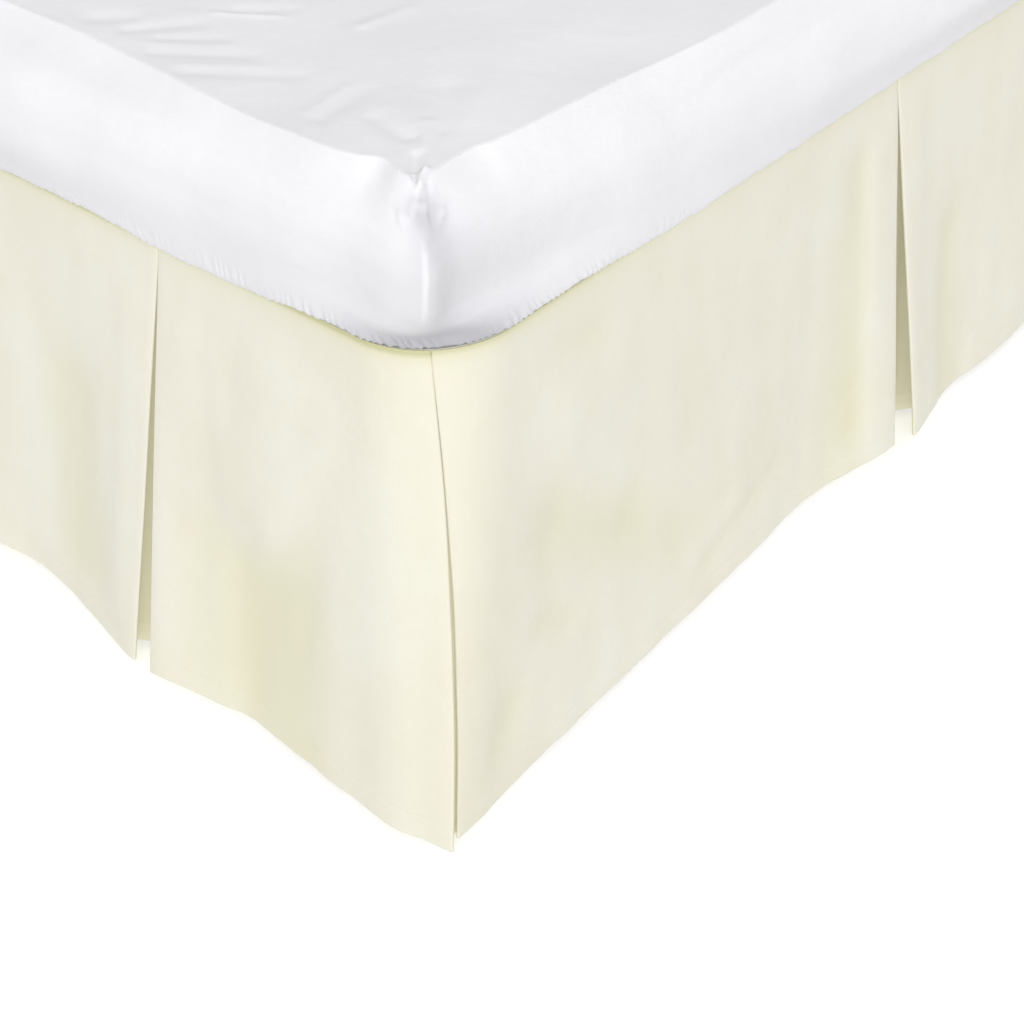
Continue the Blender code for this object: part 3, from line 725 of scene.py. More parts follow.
@dataclass(frozen=True)
class Face:
    """One face of the bed, and how the cloth hangs on it.

    corner is the plan place that u is measured from, u_way and v_way the plan directions of u and
    v. bow_start and bow_end say which way a corner slit bows at half height.
    """

    corner: tuple[float, float]
    u_way: tuple[float, float]
    v_way: tuple[float, float]
    length: float
    far_round: bool
    hem: Table
    creases: tuple[Crease, ...]
    bow_start: int
    bow_end: int
    seed: float
    crevice: float = 0.8           # how much darker than a fold the painted shade goes under the cover

    def place(self, u: np.ndarray, v: np.ndarray) -> tuple[np.ndarray, np.ndarray]:
        """Plan x and y of points at (u, v)."""
        return (self.corner[0] + u * self.u_way[0] + v * self.v_way[0],
                self.corner[1] + u * self.u_way[1] + v * self.v_way[1])

    def deck_point(self, u: np.ndarray, depth: np.ndarray) -> tuple[np.ndarray, np.ndarray]:
        """Points on the deck's edge; on a rounded foot corner u follows the arc.

        Args:
            u: distance along the edge.
            depth: how far inside the edge.

        Returns:
            The points' u and v in the flat frame of the face.
        """
        radius = BED.foot_radius
        inner = radius - depth
        near = np.clip((radius - u) / radius, 0.0, None)
        far = np.clip((u - self.length + radius) / radius, 0.0, None) * self.far_round
        angle = near + far
        across = np.where(near > 0, radius, np.where(far > 0, self.length - radius, u))
        return across + inner * (np.sin(far) - np.sin(near)), inner * np.cos(angle) - radius

    def ripple(self, u: np.ndarray, h: np.ndarray) -> np.ndarray:
        """Slight waviness that no pressed cloth is free of, fuller towards the hem.

        Args:
            u: place along the face.
            h: from 0 at the hem to 1 at the seam.

        Returns:
            Lift out of the face at each point.
        """
        wave = sum(share * np.sin(along * u + up * h + shift * self.seed)
                   for share, along, up, shift in RIPPLE_WAVES)
        return RIPPLE * wave * (1.3 - 0.6 * h)

    def lift(self, u: np.ndarray, h: np.ndarray) -> np.ndarray:
        """How far ripples and creases lift the cloth out of its face.

        Args:
            u: place along the face.
            h: from 0 at the hem to 1 at the seam.

        Returns:
            Lift at each point, which dies away at the seam.
        """
        total = self.ripple(u, h)
        for crease in self.creases:
            total = total + crease.lift(u, h * BED.drop, BED.drop)
        return total * ease((1 - h) * FOLD_FADE)

    def painted_shade(self, stations: np.ndarray, heights: np.ndarray) -> np.ndarray:
        """Painted shade of the cloth: in its folds and pleats, beside its slits and under its seam.

        Args:
            stations: lines of cloth as rows of u and depth at the deck, u and depth at the hem.
            heights: from 0 at the hem to 1 at the seam.

        Returns:
            From 0 to 1 at stations x heights, and past 1 in the crevice under the cover.
        """
        h = heights[None, :]
        u = stations[:, 0, None] * h + stations[:, 2, None] * (1 - h)
        in_pleat = ease(stations[:, 1, None] / LAYER)
        in_seam = SEAM_SHADE * np.exp((h - 1) * BED.drop / SEAM_FADE)
        by_slit = SLIT_SHADE * ease(1 - (u - self.hem[0][0] * (1 - h)) / SLIT_FADE)
        in_fold = np.clip(-self.lift(u, h) / FOLD_SHADE_DEPTH, 0.0, 1.0)
        crevice = self.crevice * np.exp(-((h - 1) * BED.drop / CREVICE_SHADE_REACH) ** 2)
        return np.clip(np.maximum(in_pleat, in_seam) + by_slit + in_fold, 0.0, 1.0) + crevice

    def pucker(self, u: np.ndarray, h: np.ndarray) -> np.ndarray:
        """Small puckers that the seam draws into the cloth just below it.

        Args:
            u: place along the face.
            h: from 0 at the hem to 1 at the seam.

        Returns:
            Lift out of the face at each point.
        """
        below = (1 - h) * BED.drop
        wave = np.sin(330 * u + 3 * np.sin(23 * u + self.seed)) * np.sin(71 * u + self.seed)
        return PUCKER * wave * ease(below / PUCKER_START) * np.exp(-below / PUCKER_REACH)

    def cloth(self, stations: np.ndarray, heights: np.ndarray) -> np.ndarray:
        """Points of the hanging cloth.

        Args:
            stations: lines of cloth as rows of u and depth at the deck, u and depth at the hem.
            heights: from 0 at the hem to 1 at the seam.

        Returns:
            Points as stations x heights x 3.
        """
        u_deck, depth_deck, u_hem, depth_hem = (stations[:, k, None] for k in range(4))
        h = heights[None, :]
        top_u, top_v = self.deck_point(u_deck, depth_deck)
        u = top_u * h + u_hem * (1 - h)
        v = top_v * h + (soft_curve(self.hem, u_hem) - depth_hem) * (1 - h)
        v = v + self.lift(u, h) + self.pucker(u, h) + hem_fold(h)
        slit_start = DIAGONAL_PLAN * h + self.hem[0][0] * (1 - h)
        slit_end = (self.length - DIAGONAL_PLAN) * h + self.hem[-1][0] * (1 - h)
        start = self.bow_start * slit_bow(h, u - slit_start)
        end = self.bow_end * slit_bow(h, slit_end - u)
        x, y = self.place(u + start - end, v + start + end)
        outer = ease(1 - depth_deck / TURN) * ease(1 - (1 - h) * BED.drop / SEAM_REACH)
        z = BED.hem_z + BED.drop * np.broadcast_to(h, x.shape) + SEAM_RISE * outer
        return np.stack([x, y, z], axis=-1)


def slit_bow(h: np.ndarray, distance: np.ndarray) -> np.ndarray:
    """Sideways pull of a corner slit at height h, at a distance from it along the face."""
    return SLIT_BOW * np.sin(math.pi * h) * ease(1 - distance / SLIT_BOW_REACH)


def hem_fold(h: np.ndarray) -> np.ndarray:
    """The turned-up hem: a little fuller than the cloth above it, drawn in along its stitches.

    Args:
        h: from 0 at the hem to 1 at the seam.

    Returns:
        Lift out of the face at each height.
    """
    z = h * BED.drop
    full = HEM_FULLNESS * ease((HEM_DEPTH - z) / STITCH_INSET)
    drawn = HEM_FULLNESS * np.exp(-((z - HEM_DEPTH + STITCH_INSET) / (1.2 * MM)) ** 2)
    return full - drawn


def cloth_heights() -> np.ndarray:
    """Heights of the rows of points: close at hem, stitch line and seam, 8 mm apart between.

    Returns:
        The heights, from 0 at the hem to 1 at the seam.
    """
    hem = np.array([0, 0.6, 1.5, 4, 8, 12, 16, 18, 19, 20, 21, 22, 24, 27]) * MM
    seam = BED.drop - np.array([30, 24, 19, 15, 11, 8, 5, 3, 1.2, 0.4, 0]) * MM
    middle = np.linspace(hem[-1], seam[0], round((seam[0] - hem[-1]) / ROW))[1:-1]
    return np.concatenate([hem, middle, seam]) / BED.drop


@dataclass(frozen=True)
class Pleat:
    """An inverted box pleat: its place at the deck and where its flaps' edges hang at the hem.

    near_pocket and far_pocket are the depths of the pocket at the hem behind the two flaps. It
    comes forward from the one to the other over turn_reach, from turn_from past the far edge.
    """

    deck: float
    near: float
    far: float
    near_pocket: float
    far_pocket: float
    turn_from: float = 0.004
    turn_reach: float = 0.045

    def stations(self) -> list[np.ndarray]:
        """Follows the cloth through the pleat.

        Returns:
            Stations from the near flap's edge round to the far flap's edge.
        """
        near_edge = np.array([self.deck - EDGE_GAP - TURN, 0.0, self.near - TURN, 0.0])
        far_edge = np.array([self.deck + EDGE_GAP + TURN, LAYER, self.far + TURN, LAYER])
        near_fold = np.array([near_edge[0] - RETURN, LAYER, near_edge[2] - RETURN,
                              self.near_pocket - LAYER])
        far_fold = np.array([far_edge[0] + RETURN, 2 * LAYER, far_edge[2] + RETURN,
                             self.far_pocket])
        path = [near_edge] + turned_edge(near_edge, 1, 1)
        path += run(path[-1], near_fold)
        path += turned_edge(near_fold, -1, 1)
        for row in run(path[-1], far_fold):
            shallower = float(ease((row[2] - self.far - self.turn_from) / self.turn_reach))
            row[3] = self.near_pocket + (self.far_pocket - self.near_pocket) * shallower
            path.append(row)
        path += turned_edge(far_fold, 1, -1)
        path += run(path[-1], far_edge)
        path += turned_edge(far_edge, -1, -1)
        return path


def run(start: np.ndarray, end: np.ndarray, spacing: float = COLUMN) -> list[np.ndarray]:
    """Stations from start to end, without the first, about spacing apart."""
    steps = max(2, math.ceil(abs(end[0] - start[0]) / spacing))
    return [start + (end - start) * i / steps for i in range(1, steps + 1)]


def turned_edge(at: np.ndarray, way: int, behind: int) -> list[np.ndarray]:
    """Stations round a folded edge, from one layer to the next.

    Args:
        at: the last station before the edge.
        way: +1 where the edge points to larger u, -1 where it points to smaller u.
        behind: +1 where the cloth goes on in the layer behind, -1 where it comes forward.

    Returns:
        The stations after at.
    """
    turns = np.linspace(0.0, math.pi, TURN_STEPS + 1)[1:]
    aside = way * TURN * np.sin(turns)
    deeper = behind * TURN * (1 - np.cos(turns))
    return [at + np.array([du, dd, du, dd]) for du, dd in zip(aside, deeper)]


@dataclass(frozen=True)
class Drop:
    """One drop of the skirt, from its turned-back start at a foot corner to its end."""

    name: str
    node: str
    face: Face
    pleats: tuple[Pleat, ...]
    start: tuple[float, float]
    end: tuple[float, float]
    end_turned: bool
    finish: WovenCotton = CREAM_PERCALE

    def stations(self) -> np.ndarray:
        """Follows the cloth from one end of the strip to the other.

        Returns:
            All the stations of the strip, as rows.
        """
        folded = np.array([self.start[0], LAYER, self.start[1], LAYER])
        inward = np.array([END_RETURN, 0.0, END_RETURN, 0.0])
        path = [folded + inward, folded + inward * (1 - THICKNESS / END_RETURN)]
        path += run(path[-1], folded) + turned_edge(folded, -1, -1)
        for pleat in self.pleats:
            bends = pleat.stations()
            path += run(path[-1], bends[0]) + bends[1:]
        last = np.array([self.end[0], 0.0, self.end[1], 0.0])
        path += run(path[-1], last)
        if self.end_turned:
            path += turned_edge(last, 1, 1)
            path += run(path[-1], path[-1] - inward)
        return np.array(path)

    def build(self) -> bpy.types.Object:
        """Hangs the strip.

        Returns:
            The strip as a piece of cloth.
        """
        stations, heights = self.stations(), cloth_heights()
        return cloth_piece(self.name, self.face.cloth(stations, heights), THICKNESS,
                           self.face.painted_shade(stations, heights))

    def flat_size(self) -> tuple[float, float]:
        """Size that the strip was cut to, before it was pleated and hung.

        Returns:
            Its width and length.
        """
        stations = self.stations()
        at_deck = np.hypot(np.diff(stations[:, 0]), np.diff(stations[:, 1])).sum()
        at_hem = np.hypot(np.diff(stations[:, 2]), np.diff(stations[:, 3])).sum()
        return BED.drop, float(at_deck + at_hem) / 2

    def dress(self, piece: bpy.types.Object) -> None:
        """Finish and body of the strip; its flat size is worked out and not kept."""
        dress(piece, self.finish, [self.node])
        self.flat_size()


@dataclass(frozen=True)
class CornerUnderlay:
    """The cloth behind a split foot corner, from the foot face round to a side face.

    Its plan is worked out in the corner's own frame: a runs along the foot face and b along the
    side face, both away from the corner. At the hem the cloth spreads as the flaps before it do.
    """

    name: str
    node: str
    side: Face
    foot: Face
    mirrored: bool
    reach: float = 0.100           # how far it goes along each face, at the deck
    first: float = 0.024           # where its bend ends
    bend: float = 0.010            # radius of its bend at the hem
    depth: float = 6.2 * MM        # behind the faces, at the hem
    slack: float = 4.5 * MM        # and how much further at half height
    foot_spread: float = 1.25      # cloth at the hem for cloth at the deck
    side_spread: float = 1.13
    finish: WovenCotton = CREAM_PERCALE

    def foot_u(self, a: np.ndarray) -> np.ndarray:
        """Place along the foot face of a point a away from the corner."""
        return BED.width - a if self.mirrored else a

    def plan(self) -> np.ndarray:
        """Follows the underlay from the foot face round to the side face.

        Returns:
            Rows of arc at the deck, a and b at the hem, and angle of the bend so far.
        """
        foot_tip = BED.width - self.foot.hem[-1][0] if self.mirrored else self.foot.hem[0][0]
        side_tip = self.side.hem[0][0]
        reaches = np.linspace(self.first, self.reach, round(self.reach / COLUMN))
        a = foot_tip + (reaches - SLIT_SHIFT) * self.foot_spread
        b = side_tip + (reaches + SLIT_SHIFT) * self.side_spread
        corner_a = self.depth - float(soft_curve(self.side.hem, np.array(side_tip)))
        tip_u = self.foot_u(np.array(foot_tip))
        corner_b = self.depth - float(soft_curve(self.foot.hem, tip_u))
        turns = np.linspace(0.0, math.pi / 2, 9)
        foot = np.stack([-reaches, a, self.depth - soft_curve(self.foot.hem, self.foot_u(a)),
                         np.zeros_like(a)], axis=1)[::-1]
        round_corner = np.stack([-self.bend * np.cos(2 * turns),
                                 corner_a + self.bend * (1 - np.sin(turns)),
                                 corner_b + self.bend * (1 - np.cos(turns)), turns], axis=1)
        side = np.stack([reaches, self.depth - soft_curve(self.side.hem, b), b,
                         np.full_like(b, math.pi / 2)], axis=1)
        return np.concatenate([foot, round_corner, side])

    def build(self) -> bpy.types.Object:
        """Hangs the underlay.

        Returns:
            The underlay as a piece of cloth.
        """
        arc, hem_a, hem_b, turn = (column[:, None] for column in self.plan().T)
        h = cloth_heights()[None, :]
        along, out = self.side.deck_point(DIAGONAL_ARC + np.abs(arc), np.array(2 * LAYER))
        top_a, top_b = np.where(arc > 0, -out, along), np.where(arc > 0, along, -out)
        pull = self.side.bow_start * slit_bow(h, np.abs(arc))
        a = top_a * h + hem_a * (1 - h) - pull
        b = top_b * h + hem_b * (1 - h) + pull
        slack = self.slack * np.sin(math.pi * h)
        back_a = slack - self.side.lift(b, h) - hem_fold(h)
        back_b = slack - self.foot.lift(self.foot_u(a), h) - hem_fold(h)
        x = BED.half_width - a - back_a * np.sin(turn)
        y = BED.foot_y + b + back_b * np.cos(turn)
        z = BED.hem_z + BED.drop * np.broadcast_to(h, x.shape)
        # the whole underlay gets the full painted fold shade, as the inside of a pleat
        return cloth_piece(self.name, np.stack([-x if self.mirrored else x, y, z], axis=-1),
                           THICKNESS, np.ones_like(x))

    def dress(self, piece: bpy.types.Object) -> None:
        """Finish and body of the underlay."""
        dress(piece, self.finish, [self.node])


# --- bodies with rounded plans --------------------------------------------------------------------
LEAST_RADIUS = 4 * MM          # of the corners of any outline
CORNER_ZONE = 0.08             # from a corner, where a border's points lie close together
CORNER_SPACING = 6 * MM        # of those points


@dataclass(frozen=True)
class RoundedPlan:
    """A rectangle with rounded corners, seen from above."""

    half_x: float
    foot_y: float
    head_y: float
    foot_radius: float
    head_radius: float
    middle_x: float = 0.0

    @property
    def half_y(self) -> float:
        """Half its length."""
        return (self.head_y - self.foot_y) / 2

    def border(self, spacing: float) -> np.ndarray:
        """Points round its border, closer together near its corners.

        Args:
            spacing: from one point to the next, away from the corners.

        Returns:
            The points on the border of a square from -1 to 1.
        """
        lines = [square_lines(((CORNER_ZONE, CORNER_SPACING), (2 * half - CORNER_ZONE, spacing),
                               (2 * half, CORNER_SPACING))) for half in (self.half_x, self.half_y)]
        return square_border(*lines)

    def place(self, square: np.ndarray, inset: float, sharpen: float = 0.0) -> np.ndarray:
        """Carries points of a square from -1 to 1 to the plan.

        Args:
            square: points as rows of a and b.
            inset: how far the outline is drawn in.
            sharpen: how much smaller the corners' radius is than an even inset leaves it.

        Returns:
            Plan x and y of the points, as rows.
        """
        half = np.array([self.half_x - inset, self.half_y - inset])
        radius = np.where(square[:, 1] < 0, self.foot_radius, self.head_radius) - inset - sharpen
        radius = np.maximum(radius, LEAST_RADIUS)[:, None]
        point = square * half
        core = np.clip(point, radius - half, half - radius)
        out = point - core
        reach = np.maximum(np.hypot(out[:, 0], out[:, 1]), 1e-12)
        out = out * (np.abs(out).max(axis=1) / reach)[:, None]
        return core + out + np.array([self.middle_x, (self.foot_y + self.head_y) / 2])


def square_lines(zones: Table) -> np.ndarray:
    """Lines from -1 to 1 across a length, at spacings that change along it.

    Args:
        zones: rows of (where the zone ends, spacing of its lines); the last one ends the length.

    Returns:
        The lines' places.
    """
    lines, start = [np.zeros(1)], 0.0
    for end, spacing in zones:
        lines.append(np.linspace(start, end, max(1, round((end - start) / spacing)) + 1)[1:])
        start = end
    return np.concatenate(lines) / start * 2 - 1


def square_border(a: np.ndarray, b: np.ndarray, parts: int = 1) -> np.ndarray:
    """Points round the border of a square grid, anticlockwise from (-1, -1).

    Args:
        a: the grid's lines along x.
        b: the grid's lines along y.
        parts: how many parts each step of the border is cut into.

    Returns:
        The points as rows of a and b.
    """
    ones_a, ones_b = np.ones_like(a), np.ones_like(b)
    points = np.concatenate([np.stack([a, -ones_a], 1)[:-1], np.stack([ones_b, b], 1)[:-1],
                             np.stack([a[::-1], ones_a], 1)[:-1],
                             np.stack([-ones_b, b[::-1]], 1)[:-1]])
    following = np.roll(points, -1, axis=0)
    shares = np.arange(parts)[None, :, None] / parts
    return (points[:, None] + (following - points)[:, None] * shares).reshape(-1, 2)


def arc_lengths(places: np.ndarray) -> np.ndarray:
    """Distance of each point of a ring from its first, along the ring."""
    return np.concatenate([[0.0], np.cumsum(np.hypot(*np.diff(places, axis=0).T))])


class Shell:
    """A closed surface over a rounded plan, put together ring by ring from the top down."""

    def __init__(self, plan: RoundedPlan) -> None:
        """Starts an empty surface.

        Args:
            plan: the plan that it stands on.
        """
        self.plan = plan
        self.points: list[np.ndarray] = []
        self.arcs: list[np.ndarray] = []
        self.faces: list[tuple[int, ...]] = []
        self.level_faces = 0
        self.size = 0

    def add(self, plan_points: np.ndarray, z: np.ndarray, arc: np.ndarray) -> np.ndarray:
        """Adds points.

        Args:
            plan_points: their plan x and y, as rows.
            z: their height, or the height of each.
            arc: distance of each round its ring.

        Returns:
            Their indices.
        """
        self.points.append(np.column_stack([plan_points, np.broadcast_to(z, len(plan_points))]))
        self.arcs.append(arc)
        self.size += len(plan_points)
        return np.arange(self.size - len(plan_points), self.size)

    def ring(self, square: np.ndarray, z: np.ndarray | float, inset: float,
             sharpen: float = 0.0) -> np.ndarray:
        """Adds one ring of points.

        Args:
            square: the ring's points on the border of the square.
            z: its height, or the height of each of its points.
            inset: how far it is drawn in from the plan's outline.
            sharpen: how much sharper than the plan's its corners are.

        Returns:
            The points' indices.
        """
        places = self.plan.place(square, inset, sharpen)
        return self.add(places, np.asarray(z), arc_lengths(places))

    def panel(self, a: np.ndarray, b: np.ndarray, z: float, rise: float, inset: float,
              sharpen: float) -> np.ndarray:
        """Adds a gently crowned top as a grid.

        Args:
            a: the grid's lines along x.
            b: the grid's lines along y.
            z: height of its border.
            rise: how much higher its middle is.
            inset: how far its border is drawn in.
            sharpen: how much sharper than the plan's its corners are.

        Returns:
            Indices of the border's points, in the order of square_border.
        """
        square = np.stack(np.meshgrid(a, b, indexing="ij"), axis=-1).reshape(-1, 2)
        crown = rise * ease(4 * (1 - np.abs(square).max(axis=1)))
        grid = self.add(self.plan.place(square, inset, sharpen), z + crown, np.zeros(len(square)))
        self.faces += grid_faces(len(a), len(b))
        self.level_faces = len(self.faces)
        grid = grid.reshape(len(a), len(b))
        return np.concatenate([grid[:-1, 0], grid[-1, :-1], grid[:0:-1, -1], grid[0, :0:-1]])

    def wall(self, upper: np.ndarray, lower: np.ndarray) -> None:
        """Adds the faces between two rings.

        Args:
            upper: indices of the upper ring's points.
            lower: indices of the lower ring's points, as many or a multiple.
        """
        parts = len(lower) // len(upper)
        for j in range(len(upper)):
            below = [int(lower[(parts * j + k) % len(lower)]) for k in range(parts + 1)]
            self.faces.append((int(upper[j]), *below, int(upper[(j + 1) % len(upper)])))

    def cap(self, ring: np.ndarray, facing_up: bool) -> None:
        """Closes a ring with one flat face.

        Args:
            ring: indices of the ring's points.
            facing_up: whether the face looks up, at the top, or down.
        """
        self.faces.append(tuple(int(k) for k in (ring if facing_up else ring[::-1])))

    def stack(self, square: np.ndarray, rows: Iterable[tuple[float, float]]) -> None:
        """Adds a whole body as rings, closed with a flat face at the top and at the bottom.

        Args:
            square: the rings' points on the border of the square.
            rows: height of each ring and how far it is drawn in, from the top down.
        """
        upper = None
        for z, inset in rows:
            lower = self.ring(square, z, inset)
            if upper is None:
                self.cap(lower, facing_up=True)
            else:
                self.wall(upper, lower)
            upper = lower
        self.cap(upper, facing_up=False)

    def all_arcs(self) -> np.ndarray:
        """Distance of each point round its ring, 0 on a panel."""
        return np.concatenate(self.arcs)

    def piece(self, name: str) -> bpy.types.Object:
        """The surface as an object, its cloth laid round the sides and straight over the top.

        Args:
            name: name of the object.

        Returns:
            The object.
        """
        points, corners = np.concatenate(self.points), corner_points(self.faces)
        sizes = np.array([len(face) for face in self.faces])
        level = np.repeat(np.arange(len(sizes)) < self.level_faces, sizes)
        around = np.column_stack([self.all_arcs(), points[:, 2]])
        uvs = np.where(level[:, None], points[corners][:, :2], around[corners])
        return make_piece(name, points, self.faces, uvs)


@dataclass(frozen=True)
class Wrinkle:
    """A fold in the mattress cover.

    Its ends are (across, along, up): in from the right side, in from the foot end and above the
    mattress's underside. Lifts are along the surface's normal.
    """

    start: tuple[float, float, float]
    end: tuple[float, float, float]
    width0: float
    width1: float
    lift0: float
    lift1: float
    profile: Profile = Profile.SOFT

    def lift(self, places: np.ndarray, normals: np.ndarray) -> np.ndarray:
        """How far the wrinkle lifts the cover.

        Args:
            places: points of the cover, as rows of across, along and up.
            normals: the surface's normals in the same frame.

        Returns:
            Lift along the normal at each point.
        """
        way = np.subtract(self.end, self.start)
        length = float(np.linalg.norm(way))
        way = way / length
        offset = places - np.array(self.start)
        share = np.clip(offset @ way / length, 0.0, 1.0)
        away = offset - share[:, None] * length * way
        past = away @ way
        aside = away - past[:, None] * way
        side = np.sign((aside * np.cross(normals, way)).sum(axis=1))
        across = np.linalg.norm(aside, axis=1) * side
        width = self.width0 + (self.width1 - self.width0) * share
        height = self.lift0 + (self.lift1 - self.lift0) * share
        return height * section(self.profile, across / width, past / width)


LOOSE_WRINKLES = 34
TOP_PANEL = 0.135              # height of the cover's top panel above the mattress's underside


def loose_wrinkles() -> list[Wrinkle]:
    """Wrinkles scattered over the rest of the cover's top, roughly one way.

    Returns:
        The wrinkles, the same in each run.
    """
    draw = np.random.default_rng(7)
    wrinkles = []
    for _ in range(LOOSE_WRINKLES):
        across, along = draw.uniform(0.07, 0.83), draw.uniform(0.26, 1.82)
        angle, length = draw.normal(0.7, 0.5), draw.uniform(0.04, 0.13)
        half_a, half_b = 0.5 * length * math.cos(angle), 0.5 * length * math.sin(angle)
        width, lift = draw.uniform(0.006, 0.016), draw.uniform(-0.0016, 0.0020)
        wrinkles.append(Wrinkle((across - half_a, along + half_b, TOP_PANEL),
                                (across + half_a, along - half_b, TOP_PANEL),
                                width, width * 1.2, lift, lift * 0.6))
    return wrinkles


